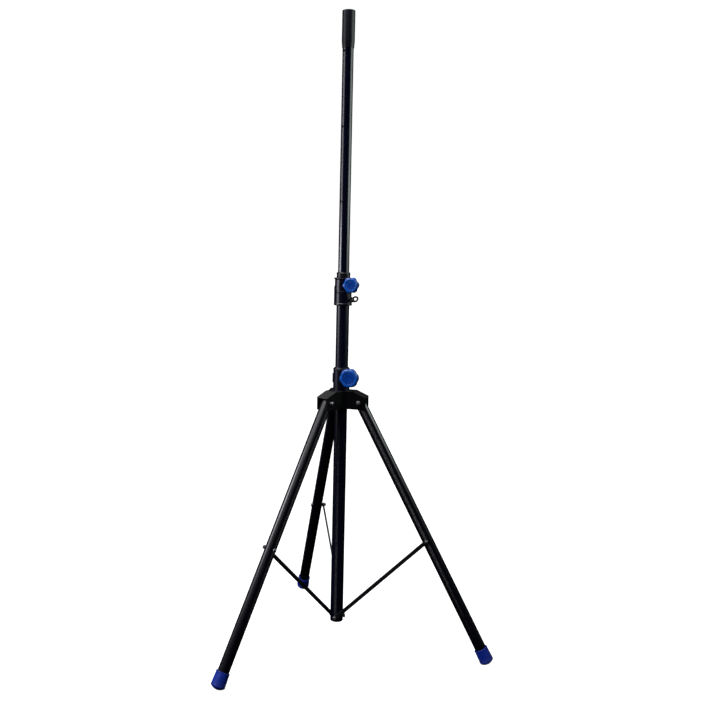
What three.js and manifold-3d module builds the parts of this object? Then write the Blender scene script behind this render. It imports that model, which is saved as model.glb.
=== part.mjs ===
// Folding tripod speaker stand: telescoping pole, sliding hub, three legs and three struts.
// Millimetres and degrees, +Z up. The origin is the centre of the flat underside of the mast's
// end plug, on the pole axis. The rear leg lies towards +Y, the others 120 degrees apart.
// Azimuths are clockwise from +Y, seen from above.
import * as THREE from 'three';
import { mergeVertices } from 'three/addons/utils/BufferGeometryUtils.js';
import Module from 'manifold-3d';

const wasm = await Module();
wasm.setup();

const rad = THREE.MathUtils.degToRad;

// ---------------------------------------------------------------- driving dimensions
const GAP = 0.3;                    // running gap between neighbouring pieces
const TUBE_FACETS = 24;             // default facets about Z
const BAR_FACETS = 12;              // default facets about Y

const MAST_R = 17.5;
const MAST_WALL = 1.5;
const MAST_Z0 = 2.6;                // tube starts above the end plug's flange
const MAST_TOP = 906;               // hidden inside the upper collar

const TUBE_R = 15;                  // upper tube
const TUBE_WALL = 1.5;
const TUBE_Z0 = 640;
const TUBE_Z1 = 1652;
const HOLE_Z0 = 750;                // lowest cross hole, then one every HOLE_PITCH
const HOLE_PITCH = 200;
const HOLE_COUNT = 5;
const HOLE_R = 3.4;
const HOLE_AZ = 240;                // azimuth of the cross holes' axes

const SPIGOT_R = 17.5;
const SPIGOT_Z0 = 1558;             // foot of the taper
const SPIGOT_Z1 = 1576;             // full diameter from here
const SPIGOT_TOP = 1657;

const COLLAR_Z0 = 872;              // upper split collar
const COLLAR_Z1 = 946.8;
const COLLAR_R = 23;
const COLLAR_FOOT_R = 24.5;
const COLLAR_FLANGE_R = 25.4;
const COLLAR_LINER_SEAT_R = 17.3;
const COLLAR_LIP_Z = 961.6;         // top of the liner's lip
const COLLAR_LIP_R = 18.6;
const SET_SCREW_Z = 889;

const HUB_Z0 = 592.5;               // lower edge of the hub's side plates
const HUB_ROOF_Z = 641.5;           // flat part of the roof
const HUB_EAVE_Z = 628.4;           // roof height at the arm's end
const HUB_ROOF_T = 3.2;             // roof thickness
const HUB_CORE_R = 26;
const HUB_ARM_R = 73;               // arm end, distance from the pole axis
const HUB_ARM_W = 38;               // outer width of an arm
const HUB_CHANNEL_R = 33.2;         // inner end of the leg channel
const HUB_CHANNEL_W = 31.4;
const HUB_BORE_R = 19.6;
const HUBCOL_Z0 = 641.8;            // split collar above the hub
const HUBCOL_Z1 = 699.4;
const HUBCOL_R = 22.4;
const HUBCOL_RIM_R = 23.4;

// Both split collars: ears, slit, clamp bolt and knob
const CLAMP_AZ = 120;               // azimuth of the ears, in line with the right leg
const BOLT_R = 4;
const BOLT_HOLE_R = BOLT_R + 0.35;
const SLIT = 3;                     // slit between the ears
const EAR_Y = 12;                   // outer face of each ear, from the slit's mid-plane
const WASHER_T = 1.6;
const SKIRT_Y = -23.7;              // knob skirts start here, clear of the collars

// x, z: bolt axis in the clamp frame. webHalf: half height of the ears at their root.
const UPPER_CLAMP = { x: 29, z: 928, earR: 9.2, webHalf: 15, slitZ0: 906.5, slitZ1: COLLAR_Z1 + 1 };
const LOWER_CLAMP = {
  x: 29.5, z: 678.6, earR: 10, webHalf: 17, slitZ0: HUBCOL_Z0 + 8, slitZ1: HUBCOL_Z1 + 1,
};
// faceY: outer face. lobePhase: angle of the first of six lobes.
const UPPER_KNOB = { faceY: -38, faceR: 17.5, lobeR: 22.4, lobeDepth: 2.6, lobePhase: rad(5) };
const LOWER_KNOB = { faceY: -40, faceR: 22, lobeR: 26.4, lobeDepth: 1.9, lobePhase: rad(8) };

const PIN_R = 2.25;                 // safety pin
const PIN_X = 26;                   // pin axis to pole axis
const PIN_Z = 886.5;
const PULL_CENTRE = { x: 38, y: -17.8, z: 890.7 };  // pull ring
const PULL_R = 6.7;                 // wire centre line, before stretching
const PULL_WIRE_R = 2.6;
const PULL_STRETCH = { x: 1.12, y: 0.86 };  // in the ring's own plane
const PULL_TILT = rad(-28);

const LEG_AZ = { rear: 0, right: 120, left: 240 };
const LEG_PIVOT_X = 54.115;         // leg pivots, distance from the pole axis
const LEG_PIVOT_Z = 610;
const LEG_SPLAY = rad(28.3);        // leg angle from vertical, open
const LEG_R = 15;
const LEG_WALL = 1.2;
const LEG_LEN = 754.593;            // pivot to the end of the boot's tapered wall
const LEG_TOP = 9.6;                // tube end above the leg pivot
const PIVOT_BOLT_R = 4;

const STRUT_AT = 405.593;           // strut pivot along the leg, from the leg pivot
const STRUT_SIDE = 19.4;            // strut mid-plane, sideways from the leg's plane
const STRUT_T = 3;
const STRUT_W = 10.4;
const STRUT_FOOT_Z = 11;            // strut screws above the mast's underside
const STRUT_HOLE_R = 3.4;

const BOOT_R0 = 17.3;               // boot at its mouth
const BOOT_R1 = 18.9;               // boot at its end
const BOOT_LEN = 35.5;
const BOOT_DOME = 8;                // height of the domed end
const BOOT_DOME_STEPS = 4;
const FLOOR_Z = -63.8;              // the three soles lie in this plane

// ---------------------------------------------------------------- finishes
const FINISH = {
  blackPaint: { color: 0x0b0b10, roughness: 0.35, metalness: 0.3 },
  glossBlack: { color: 0x08080e, roughness: 0.18, metalness: 0.3 },
  blackPlastic: { color: 0x101014, roughness: 0.55, metalness: 0 },
  bluePlastic: { color: 0x0d3fae, roughness: 0.3, metalness: 0 },
  blueRubber: { color: 0x1b4fb4, roughness: 0.6, metalness: 0 },
  zinc: { color: 0xa9abaf, roughness: 0.35, metalness: 0.9 },
  brass: { color: 0xb08d45, roughness: 0.35, metalness: 0.9 },
  nylon: { color: 0x1a1a1e, roughness: 0.6, metalness: 0 },
};

// ---------------------------------------------------------------- solids and meshes
// Six times the volume enclosed by the triangles; negative when they face inward.
function signedVolume(pos, tris) {
  let volume = 0;
  for (let i = 0; i < tris.length; i += 3) {
    const [a, b, c] = [tris[i] * 3, tris[i + 1] * 3, tris[i + 2] * 3];
    volume += pos[a] * (pos[b + 1] * pos[c + 2] - pos[b + 2] * pos[c + 1])
      - pos[a + 1] * (pos[b] * pos[c + 2] - pos[b + 2] * pos[c])
      + pos[a + 2] * (pos[b] * pos[c + 1] - pos[b + 1] * pos[c]);
  }
  return volume;
}

// Solid from a closed three.js geometry: welded, without collapsed triangles, facing outward.
function solid(geometry) {
  const bare = geometry.clone();
  bare.deleteAttribute('normal');
  bare.deleteAttribute('uv');
  const welded = mergeVertices(bare, 1e-4);
  const index = welded.index.array;
  const pos = welded.attributes.position.array;
  const tris = [];
  for (let i = 0; i < index.length; i += 3) {
    const [a, b, c] = [index[i], index[i + 1], index[i + 2]];
    if (a !== b && b !== c && a !== c) tris.push(a, b, c);
  }
  if (signedVolume(pos, tris) < 0) {
    for (let i = 0; i < tris.length; i += 3) {
      [tris[i + 1], tris[i + 2]] = [tris[i + 2], tris[i + 1]];
    }
  }
  return new wasm.Manifold(new wasm.Mesh({
    numProp: 3,
    vertProperties: new Float32Array(pos),
    triVerts: new Uint32Array(tris),
  }));
}

function toGeometry(shape) {
  const mesh = shape.getMesh();
  const g = new THREE.BufferGeometry();
  g.setAttribute('position', new THREE.BufferAttribute(new Float32Array(mesh.vertProperties), 3));
  g.setIndex(new THREE.BufferAttribute(new Uint32Array(mesh.triVerts), 1));
  g.computeVertexNormals();
  return g;
}

function add(parent, name, shape, finish) {
  const mesh = new THREE.Mesh(toGeometry(shape), new THREE.MeshStandardMaterial(FINISH[finish]));
  mesh.name = name;
  parent.add(mesh);
}

const join = (shape, tools) => tools.reduce((sum, tool) => sum.add(tool), shape);
const cut = (shape, tools) => tools.reduce((rest, tool) => rest.subtract(tool), shape);

// ---------------------------------------------------------------- basic shapes
// Lathe geometry about Y from [radius, y] points, closed back to the first point.
function closedLathe(points, facets) {
  const profile = [...points, points[0]].map(([r, y]) => new THREE.Vector2(r, y));
  return new THREE.LatheGeometry(profile, facets);
}

// Solid of revolution about Z, from [radius, z] points.
function turned(points, facets = TUBE_FACETS) {
  const g = closedLathe(points, facets);
  g.rotateX(Math.PI / 2);
  g.rotateZ(Math.PI / facets);
  return solid(g);
}

// Solid of revolution about a line along Y through [x, z], from [radius, y] points.
function turnedY(points, x = 0, z = 0, facets = BAR_FACETS) {
  return solid(closedLathe(points, facets).translate(x, 0, z));
}

const ring = (inner, outer, z0, z1, facets) =>
  turned([[inner, z0], [outer, z0], [outer, z1], [inner, z1]], facets);
const disc = (r, z0, z1) => ring(0, r, z0, z1);

// Round bar along Y.
function barY(r, y0, y1, x = 0, z = 0, facets = BAR_FACETS) {
  const g = new THREE.CylinderGeometry(r, r, Math.abs(y1 - y0), facets);
  return solid(g.translate(x, (y0 + y1) / 2, z));
}

function block(x0, x1, y0, y1, z0, z1) {
  const g = new THREE.BoxGeometry(x1 - x0, y1 - y0, z1 - z0);
  return solid(g.translate((x0 + x1) / 2, (y0 + y1) / 2, (z0 + z1) / 2));
}

// Prism from an outline of [x, z] points, extruded along Y from y0 to y1.
function prismY(outline, y0, y1, bevel = 0) {
  const shape = new THREE.Shape(outline.map(([x, z]) => new THREE.Vector2(x, z)));
  const g = new THREE.ExtrudeGeometry(shape, {
    depth: y1 - y0 - 2 * bevel,
    bevelEnabled: bevel > 0,
    bevelThickness: bevel,
    bevelSize: bevel,
    bevelOffset: -bevel,
    bevelSegments: 1,
  });
  g.translate(0, 0, bevel - y1);
  g.rotateX(Math.PI / 2);
  return solid(g);
}

const hexagon = (r, x, z) => Array.from({ length: 6 }, (_, i) =>
  [x + r * Math.cos(Math.PI * i / 3), z + r * Math.sin(Math.PI * i / 3)]);

// Half circle of [x, z] points, turning from +X towards +Z from the start angle.
const halfCircle = (x, z, r, start, steps) => Array.from({ length: steps + 1 }, (_, i) => {
  const angle = start + Math.PI * i / steps;
  return [x + r * Math.cos(angle), z + r * Math.sin(angle)];
});

// Outline of a strip with round ends, centred on [x0, z0] and [x1, z1].
function slotOutline(x0, z0, x1, z1, r, steps) {
  const angle = Math.atan2(z1 - z0, x1 - x0);
  return [
    ...halfCircle(x1, z1, r, angle - Math.PI / 2, steps),
    ...halfCircle(x0, z0, r, angle + Math.PI / 2, steps),
  ];
}

// ---------------------------------------------------------------- frames
// Arm frame: local X points outward along an azimuth, local Z is up, and local -Y is the side
// the struts, nuts and knobs are on.
const group = new THREE.Group();
function armFrame(azimuth) {
  const frame = new THREE.Group();
  frame.rotation.z = rad(90 - azimuth);
  group.add(frame);
  return frame;
}
const arms = Object.entries(LEG_AZ).map(([side, azimuth]) => [side, armFrame(azimuth)]);
const clamp = armFrame(CLAMP_AZ);
const body = new THREE.Group();
group.add(body);

// Turns a solid built in an arm frame into the body's frame.
const atAzimuth = (shape, azimuth) => solid(toGeometry(shape).rotateZ(rad(90 - azimuth)));
const atClamp = (shape) => atAzimuth(shape, CLAMP_AZ);
const atLegs = (shape) => Object.values(LEG_AZ).map((azimuth) => atAzimuth(shape, azimuth));

// ---------------------------------------------------------------- mast
function mastTube() {
  const tube = ring(MAST_R - MAST_WALL, MAST_R, MAST_Z0, MAST_TOP);
  return cut(tube, atLegs(barY(STRUT_HOLE_R, -20, -10, 0, STRUT_FOOT_Z)));
}

function mastEndPlug() {
  const flangeTop = MAST_Z0 - GAP;
  const plug = turned([
    [0, 0], [16.6, 0], [MAST_R, 0.9], [MAST_R, flangeTop], [15.7, flangeTop],
    [15.7, 30], [14.4, 32], [0, 32],
  ]);
  return cut(plug, atLegs(barY(STRUT_HOLE_R, -20, -7.6, 0, STRUT_FOOT_Z)));
}

// ---------------------------------------------------------------- upper tube and spigot
function upperTube() {
  const tube = ring(TUBE_R - TUBE_WALL, TUBE_R, TUBE_Z0, TUBE_Z1);
  // a bar along Y lies square to its frame's azimuth, hence the quarter turn
  const drills = Array.from({ length: HOLE_COUNT }, (_, i) =>
    atAzimuth(barY(HOLE_R, -30, 30, 0, HOLE_Z0 + i * HOLE_PITCH, 8), HOLE_AZ - 90));
  return cut(tube, drills);
}

function spigotSleeve() {
  const bore = TUBE_R + GAP;
  const top = SPIGOT_TOP - 3.4;
  return turned([
    [bore, SPIGOT_Z0], [bore + 0.7, SPIGOT_Z0], [SPIGOT_R, SPIGOT_Z1], [SPIGOT_R, top], [bore, top],
  ]);
}

function spigotCap() {
  const stemR = TUBE_R - TUBE_WALL - GAP;
  const stemFoot = TUBE_Z1 - 12;
  const tubeSeat = TUBE_Z1 + GAP;
  const brim = SPIGOT_TOP - 3.1;
  return turned([
    [0, stemFoot], [stemR, stemFoot], [stemR, tubeSeat], [TUBE_R, tubeSeat], [TUBE_R, brim],
    [SPIGOT_R, brim], [SPIGOT_R, SPIGOT_TOP - 1.2], [SPIGOT_R - 1.2, SPIGOT_TOP], [0, SPIGOT_TOP],
  ]);
}

// Plug in the foot of the upper tube, with a flange below the tube.
function tubeGuide() {
  const flangeR = 15.7;
  const stemR = 13.1;
  return turned([
    [0, TUBE_Z0 - 5], [flangeR, TUBE_Z0 - 5], [flangeR, TUBE_Z0 - GAP], [stemR, TUBE_Z0 - GAP],
    [stemR, TUBE_Z0 + 14], [11.5, TUBE_Z0 + 16], [0, TUBE_Z0 + 16],
  ]);
}

// ---------------------------------------------------------------- split collars
// Both ears as one block, before the slit is cut.
function earPair({ x, z, earR, webHalf }) {
  return prismY([
    [12, z - webHalf], [22, z - webHalf],
    ...halfCircle(x, z, earR, -Math.PI / 2, 6),
    [22, z + webHalf], [12, z + webHalf],
  ], -EAR_Y, EAR_Y);
}

// Seats for the washer (-Y) and the bolt head (+Y), slit and bolt hole.
function clampCuts({ x, z, slitZ0, slitZ1 }) {
  return [
    barY(10, -22, -EAR_Y, x, z, 16),
    barY(8, EAR_Y, 22, x, z, 16),
    block(5, 60, -SLIT / 2, SLIT / 2, slitZ0, slitZ1),
    barY(BOLT_HOLE_R, -30, 30, x, z),
  ].map(atClamp);
}

function upperCollar() {
  const shell = turned([
    [8, COLLAR_Z0], [COLLAR_FOOT_R, COLLAR_Z0], [COLLAR_FOOT_R, COLLAR_Z0 + 5],
    [COLLAR_R, COLLAR_Z0 + 6.5], [COLLAR_R, COLLAR_Z1 - 5],
    [COLLAR_FLANGE_R, COLLAR_Z1 - 2.8], [COLLAR_FLANGE_R, COLLAR_Z1], [8, COLLAR_Z1],
  ]);
  // [x, height above the pin axis]
  const bossOutline = [
    [14, -10], [25, -6.4], [29, -4.4], [30.8, 0], [29, 4.4], [25, 7], [14, 10],
  ].map(([x, z]) => [x, PIN_Z + z]);
  const pinBoss = prismY(bossOutline, -7, 7);
  // rib on the side opposite the slit
  const rib = prismY([
    [-24.4, COLLAR_Z0 + 3], [-18, COLLAR_Z0 + 3], [-18, 926], [-22.6, 926], [-24.4, 921],
  ], -6.5, 6.5);
  const collar = join(shell, [earPair(UPPER_CLAMP), pinBoss, rib].map(atClamp));
  return cut(collar, [
    disc(MAST_R + GAP, COLLAR_Z0 - 1, MAST_TOP + GAP),
    disc(COLLAR_LINER_SEAT_R, MAST_TOP - 1, COLLAR_Z1 + 1),
    ...clampCuts(UPPER_CLAMP),
    atClamp(barY(PIN_R + 0.35, -30, 30, PIN_X, PIN_Z)),
    atClamp(barY(2.9, 12, 40, 0, SET_SCREW_Z)),
  ]);
}

function upperCollarLiner() {
  const bore = 15.4;
  const lipFoot = COLLAR_Z1 + GAP;
  return turned([
    [bore, MAST_TOP + 1], [17, MAST_TOP + 1], [17, lipFoot], [COLLAR_LIP_R, lipFoot],
    [COLLAR_LIP_R, COLLAR_LIP_Z - 3.5], [17.2, COLLAR_LIP_Z], [bore, COLLAR_LIP_Z],
  ]);
}

// Slotted headless screw on the clamp frame's +Y side.
function upperCollarScrew() {
  return turnedY([[0, 18], [2.5, 18], [2.5, 24.9], [0, 24.9]], 0, SET_SCREW_Z, 16)
    .subtract(block(-3, 3, 23.6, 26, SET_SCREW_Z - 0.5, SET_SCREW_Z + 0.5));
}

function hubCollar() {
  const shell = turned([
    [10, HUBCOL_Z0], [HUBCOL_R, HUBCOL_Z0], [HUBCOL_R, HUBCOL_Z1 - 3.4],
    [HUBCOL_RIM_R, HUBCOL_Z1 - 2.4], [HUBCOL_RIM_R, HUBCOL_Z1], [10, HUBCOL_Z1],
  ]);
  // rib on the side opposite the slit
  const rib = prismY([[-24.2, 662], [-18, 659], [-18, 690], [-24.2, 687]], -6, 6);
  const collar = join(shell, [earPair(LOWER_CLAMP), rib].map(atClamp));
  return cut(collar, [
    disc(HUB_BORE_R, HUBCOL_Z0 - 1, HUBCOL_Z1 + 1),
    ...clampCuts(LOWER_CLAMP),
  ]);
}

// ---------------------------------------------------------------- clamp bolts and knobs
// Outward from the -Y ear: washer, knob neck, lobed skirt, round dished face.
const WASHER_Y = -(EAR_Y + GAP);
const NECK_Y = WASHER_Y - WASHER_T - GAP;

function clampBolt({ x, z }, { faceY }) {
  const headY = EAR_Y + GAP;
  return prismY(hexagon(7.2, x, z), headY, headY + 5.2, 0.5)
    .add(barY(BOLT_R, headY + 1, faceY + 9, x, z));
}

function clampWasher({ x, z }) {
  const bore = BOLT_R + 0.4;
  const outerY = WASHER_Y - WASHER_T;
  return turnedY([[bore, WASHER_Y], [9, WASHER_Y], [9, outerY], [bore, outerY]], x, z, 16);
}

function knobSkirt({ x, z }, { faceY, lobeR, lobeDepth, lobePhase }) {
  const steps = 36;
  const outline = Array.from({ length: steps }, (_, i) => {
    const angle = 2 * Math.PI * i / steps;
    const r = lobeR - lobeDepth * (0.5 - 0.5 * Math.cos(6 * (angle - lobePhase)));
    return [x + r * Math.cos(angle), z + r * Math.sin(angle)];
  });
  return prismY(outline, faceY + 5, SKIRT_Y, 2);
}

function knobBody(bolt, knob) {
  const { x, z } = bolt;
  const { faceY, faceR } = knob;
  const neck = turnedY([
    [0, NECK_Y], [8.6, NECK_Y], [9.4, NECK_Y - 1], [9.4, SKIRT_Y + 1],
    [11.5, SKIRT_Y - 1], [11.5, SKIRT_Y - 3], [0, SKIRT_Y - 3],
  ], x, z, 16);
  const rim = turnedY([
    [0, faceY + 7], [faceR + 0.6, faceY + 7], [faceR + 0.6, faceY + 2], [faceR - 1.2, faceY],
    [faceR - 3.4, faceY], [faceR - 5, faceY + 1.6], [0, faceY + 1.6],
  ], x, z, 24);
  const insertBore = barY(6.8, NECK_Y + 1, faceY + 8 - GAP, x, z, 14);
  const capRecess = barY(faceR - 6, faceY + 4, faceY - 1, x, z, 20);
  return cut(join(neck, [knobSkirt(bolt, knob), rim]), [insertBore, capRecess]);
}

function knobInsert({ x, z }, { faceY }) {
  const endY = faceY + 8;
  return prismY(hexagon(6.6, x, z), endY, NECK_Y - 0.2)
    .subtract(barY(BOLT_R + 0.4, endY - 1, NECK_Y + 1, x, z));
}

function knobCap({ x, z }, { faceY, faceR }) {
  const capR = faceR - 6.3;
  return turnedY([
    [0, faceY + 3.7], [capR, faceY + 3.7], [capR, faceY + 2], [faceR - 7.5, faceY + 1.2],
    [0, faceY + 1.2],
  ], x, z, 20);
}

function addClampSet(boltName, level, bolt, knob) {
  add(clamp, boltName, clampBolt(bolt, knob), 'zinc');
  add(clamp, `${level}_clamp_washer`, clampWasher(bolt), 'zinc');
  add(clamp, `${level}_knob`, knobBody(bolt, knob), 'bluePlastic');
  add(clamp, `${level}_knob_insert`, knobInsert(bolt, knob), 'brass');
  add(clamp, `${level}_knob_cap`, knobCap(bolt, knob), 'bluePlastic');
}

// ---------------------------------------------------------------- safety pin
// Lays the XY plane level with XZ swapped in, then tilts it and moves it to the pull ring.
const placePull = (geometry, y) => geometry
  .rotateX(Math.PI / 2)
  .rotateY(PULL_TILT)
  .translate(PULL_CENTRE.x, y, PULL_CENTRE.z);

function safetyPinRing() {
  const loop = new THREE.TorusGeometry(PULL_R, PULL_WIRE_R, 8, 18);
  loop.scale(PULL_STRETCH.x, PULL_STRETCH.y, 1);
  return solid(placePull(loop, PULL_CENTRE.y));
}

// Pin along Y with its head at -Y; the flat eye on the head surrounds the ring's wire.
function safetyPin() {
  const eyeX = -PULL_R * PULL_STRETCH.x;
  const eyeZ = -PULL_CENTRE.y;      // placePull turns +Z into -Y
  const eye = prismY(slotOutline(-11.5, 13.6, eyeX, eyeZ, 4.9, 8), -1.2, 1.2)
    .subtract(barY(3.25, -2, 2, eyeX + 0.1, eyeZ));
  const shank = turnedY([
    [0, 13], [1.2, 13], [PIN_R, 11.6], [PIN_R, -10], [4.4, -10], [4.4, -13], [3.2, -14.4],
    [0, -14.4],
  ], PIN_X, PIN_Z);
  return shank.add(solid(placePull(toGeometry(eye), 0)));
}

// ---------------------------------------------------------------- hub
function hubHousing() {
  // side profiles of an arm and its leg channel, [x, z]
  const armProfile = [
    [0, HUB_Z0], [HUB_ARM_R, HUB_Z0], [HUB_ARM_R, HUB_EAVE_Z], [40, HUB_ROOF_Z], [0, HUB_ROOF_Z],
  ];
  const channelProfile = [
    [HUB_CHANNEL_R, HUB_Z0 - 1], [HUB_ARM_R + 1, HUB_Z0 - 1],
    [HUB_ARM_R + 1, HUB_EAVE_Z - HUB_ROOF_T - 0.6],
    [39.4, HUB_ROOF_Z - HUB_ROOF_T], [HUB_CHANNEL_R, HUB_ROOF_Z - HUB_ROOF_T],
  ];
  const arm = prismY(armProfile, -HUB_ARM_W / 2, HUB_ARM_W / 2);
  const channel = prismY(channelProfile, -HUB_CHANNEL_W / 2, HUB_CHANNEL_W / 2);
  const boltHole = barY(PIVOT_BOLT_R + 0.35, -30, 30, LEG_PIVOT_X, LEG_PIVOT_Z);
  return cut(join(disc(HUB_CORE_R, HUB_Z0, HUB_ROOF_Z), atLegs(arm)), [
    ...atLegs(channel),
    ...atLegs(boltHole),
    disc(HUB_BORE_R, HUB_Z0 - 1, HUB_ROOF_Z + 1),
  ]);
}

function hubLiner() {
  const bore = MAST_R + GAP;
  const outer = HUB_BORE_R - GAP;
  const lipR = 21.2;
  return turned([
    [bore, HUB_Z0 + 1], [outer, HUB_Z0 + 1], [outer, HUBCOL_Z1 + GAP], [lipR, HUBCOL_Z1 + GAP],
    [lipR, HUBCOL_Z1 + 2.6], [20, HUBCOL_Z1 + 3.8], [bore, HUBCOL_Z1 + 3.8],
  ]);
}

// ---------------------------------------------------------------- fasteners in the arm frames
const ARM_FACE_Y = HUB_ARM_W / 2 + GAP;

// Screw through the strut's lower eye into the mast, with a slot across its head.
function strutScrew() {
  return turnedY([
    [0, -8], [0, -24.6], [3.4, -24.6], [5.2, -23.6], [5.9, -21.3], [3, -21.3], [3, -8],
  ], 0, STRUT_FOOT_Z)
    .subtract(block(-3.4, 3.4, -26, -23.3, STRUT_FOOT_Z - 0.6, STRUT_FOOT_Z + 0.6));
}

// Domed head on +Y, end just past the nut on -Y.
function legPivotBolt() {
  const endY = -(ARM_FACE_Y + 7.6);
  return turnedY([
    [0, ARM_FACE_Y + 4], [3.6, ARM_FACE_Y + 3.6], [6.2, ARM_FACE_Y + 2.2], [7, ARM_FACE_Y],
    [PIVOT_BOLT_R, ARM_FACE_Y], [PIVOT_BOLT_R, endY], [0, endY],
  ], LEG_PIVOT_X, LEG_PIVOT_Z);
}

function legPivotNut() {
  const [x, z] = [LEG_PIVOT_X, LEG_PIVOT_Z];
  return prismY(hexagon(7.4, x, z), -(ARM_FACE_Y + 6), -ARM_FACE_Y, 0.4)
    .subtract(barY(PIVOT_BOLT_R + 0.3, -(ARM_FACE_Y + 8), 2 - ARM_FACE_Y, x, z));
}

// ---------------------------------------------------------------- legs
// Leg frame: the pivot is the origin and the leg runs down local -Z.
const STRUT_INNER_Y = -(STRUT_SIDE - STRUT_T / 2);  // strut face towards the leg
const legPivotHole = () => barY(PIVOT_BOLT_R + 0.4, -30, 30);

function legTube() {
  return cut(ring(LEG_R - LEG_WALL, LEG_R, -(LEG_LEN - 4), LEG_TOP, 20), [
    legPivotHole(),
    barY(STRUT_HOLE_R, -30, 30, 0, -STRUT_AT),
  ]);
}

function legPlug() {
  const stemR = LEG_R - LEG_WALL - GAP;
  const headFoot = LEG_TOP + GAP;
  const headTop = LEG_TOP + 1.6;
  return turned([
    [0, -22], [stemR - 1, -22], [stemR, -20], [stemR, headFoot], [LEG_R - 0.3, headFoot],
    [LEG_R - 1.2, headTop], [0, headTop],
  ], 16).subtract(legPivotHole());
}

// Rubber cup with a thick domed end, cut flat where it stands on the floor.
function foot() {
  const domeR = (BOOT_R1 * BOOT_R1 + BOOT_DOME * BOOT_DOME) / (2 * BOOT_DOME);
  const domeCentreZ = domeR - LEG_LEN - BOOT_DOME;
  const dome = Array.from({ length: BOOT_DOME_STEPS }, (_, i) => {
    const angle = Math.asin(BOOT_R1 / domeR) * (1 - (i + 1) / BOOT_DOME_STEPS);
    return [domeR * Math.sin(angle), domeCentreZ - domeR * Math.cos(angle)];
  });
  const bore = LEG_R + GAP;
  const mouthZ = BOOT_LEN - LEG_LEN;
  const cupFloorZ = 3.6 - LEG_LEN;
  const boot = turned([
    [bore, mouthZ], [BOOT_R0 - 0.6, mouthZ], [BOOT_R0, mouthZ - 1.2], [BOOT_R1, -LEG_LEN],
    ...dome, [0, cupFloorZ], [bore, cupFloorZ],
  ], 20);
  // level block under the foot, turned into the leg frame by the splay angle
  const floor = new THREE.BoxGeometry(200, 200, 60);
  floor.translate(LEG_LEN * Math.sin(LEG_SPLAY), 0, FLOOR_Z - LEG_PIVOT_Z - 30);
  floor.rotateY(LEG_SPLAY);
  return boot.subtract(solid(floor));
}

// Cross bolt with a domed head on +Y.
function strutBolt() {
  const endY = STRUT_INNER_Y + 0.35;
  return turnedY([
    [0, 19], [2.6, 18.6], [4.8, 17.4], [5.4, 15.4], [3, 15.4], [3, endY], [0, endY],
  ], 0, -STRUT_AT);
}

// Sleeve on the cross bolt, between leg and strut.
function strutSpacer() {
  const endY = STRUT_INNER_Y + 0.4;
  return turnedY([[3.35, -15.2], [6, -15.2], [6, endY], [3.35, endY]], 0, -STRUT_AT);
}

function addLeg(frame, side) {
  const leg = new THREE.Group();
  leg.position.set(LEG_PIVOT_X, 0, LEG_PIVOT_Z);
  leg.rotation.y = -LEG_SPLAY;
  frame.add(leg);
  add(leg, `leg_tube_${side}`, legTube(), 'blackPaint');
  add(leg, `leg_plug_${side}`, legPlug(), 'nylon');
  add(leg, `foot_${side}`, foot(), 'blueRubber');
  add(leg, `strut_bolt_${side}`, strutBolt(), 'zinc');
  add(leg, `strut_spacer_${side}`, strutSpacer(), 'nylon');
}

// ---------------------------------------------------------------- struts
// Strut frame: the foot pivot is the origin and the strip runs up local +Z.
const STRUT_REACH = LEG_PIVOT_X + STRUT_AT * Math.sin(LEG_SPLAY);
const STRUT_RISE = LEG_PIVOT_Z - STRUT_AT * Math.cos(LEG_SPLAY) - STRUT_FOOT_Z;
const STRUT_LEN = Math.hypot(STRUT_REACH, STRUT_RISE);

function strutStrip() {
  const outline = slotOutline(0, 0, 0, STRUT_LEN, STRUT_W / 2, 10);
  return cut(prismY(outline, -STRUT_T / 2, STRUT_T / 2), [
    barY(STRUT_HOLE_R, -5, 5),
    barY(STRUT_HOLE_R, -5, 5, 0, STRUT_LEN),
  ]);
}

// Nut on the outer face, in one piece with the bolt's end.
function strutNut() {
  const face = STRUT_T / 2;
  return barY(3, face - 0.1, -(face + 6.6), 0, STRUT_LEN)
    .add(prismY(hexagon(5.8, 0, STRUT_LEN), -(face + 5.2), -(face + GAP), 0.4));
}

function addStrut(frame, side) {
  const strut = new THREE.Group();
  strut.position.set(0, -STRUT_SIDE, STRUT_FOOT_Z);
  strut.rotation.y = Math.atan2(STRUT_REACH, STRUT_RISE);
  frame.add(strut);
  add(strut, `strut_${side}`, strutStrip(), 'blackPaint');
  add(strut, `strut_nut_${side}`, strutNut(), 'zinc');
}

// ---------------------------------------------------------------- assembly
add(body, 'mast_tube', mastTube(), 'blackPaint');
add(body, 'mast_end_plug', mastEndPlug(), 'blackPlastic');
add(body, 'upper_collar', upperCollar(), 'blackPlastic');
add(body, 'upper_collar_liner', upperCollarLiner(), 'nylon');
add(body, 'upper_tube', upperTube(), 'glossBlack');
add(body, 'spigot_sleeve', spigotSleeve(), 'blackPaint');
add(body, 'spigot_cap', spigotCap(), 'blackPlastic');
add(body, 'tube_guide', tubeGuide(), 'nylon');
add(body, 'hub_housing', hubHousing(), 'blackPlastic');
add(body, 'hub_liner', hubLiner(), 'nylon');
add(body, 'hub_collar', hubCollar(), 'blackPlastic');

add(clamp, 'upper_collar_screw', upperCollarScrew(), 'zinc');
addClampSet('upper_clamp_bolt', 'upper', UPPER_CLAMP, UPPER_KNOB);
addClampSet('hub_clamp_bolt', 'lower', LOWER_CLAMP, LOWER_KNOB);
add(clamp, 'safety_pin', safetyPin(), 'blackPaint');
add(clamp, 'safety_pin_ring', safetyPinRing(), 'blackPaint');

for (const [side, frame] of arms) {
  add(frame, `strut_screw_${side}`, strutScrew(), 'zinc');
  add(frame, `leg_pivot_bolt_${side}`, legPivotBolt(), 'zinc');
  add(frame, `leg_pivot_nut_${side}`, legPivotNut(), 'zinc');
  addLeg(frame, side);
  addStrut(frame, side);
}

export default group;
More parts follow.
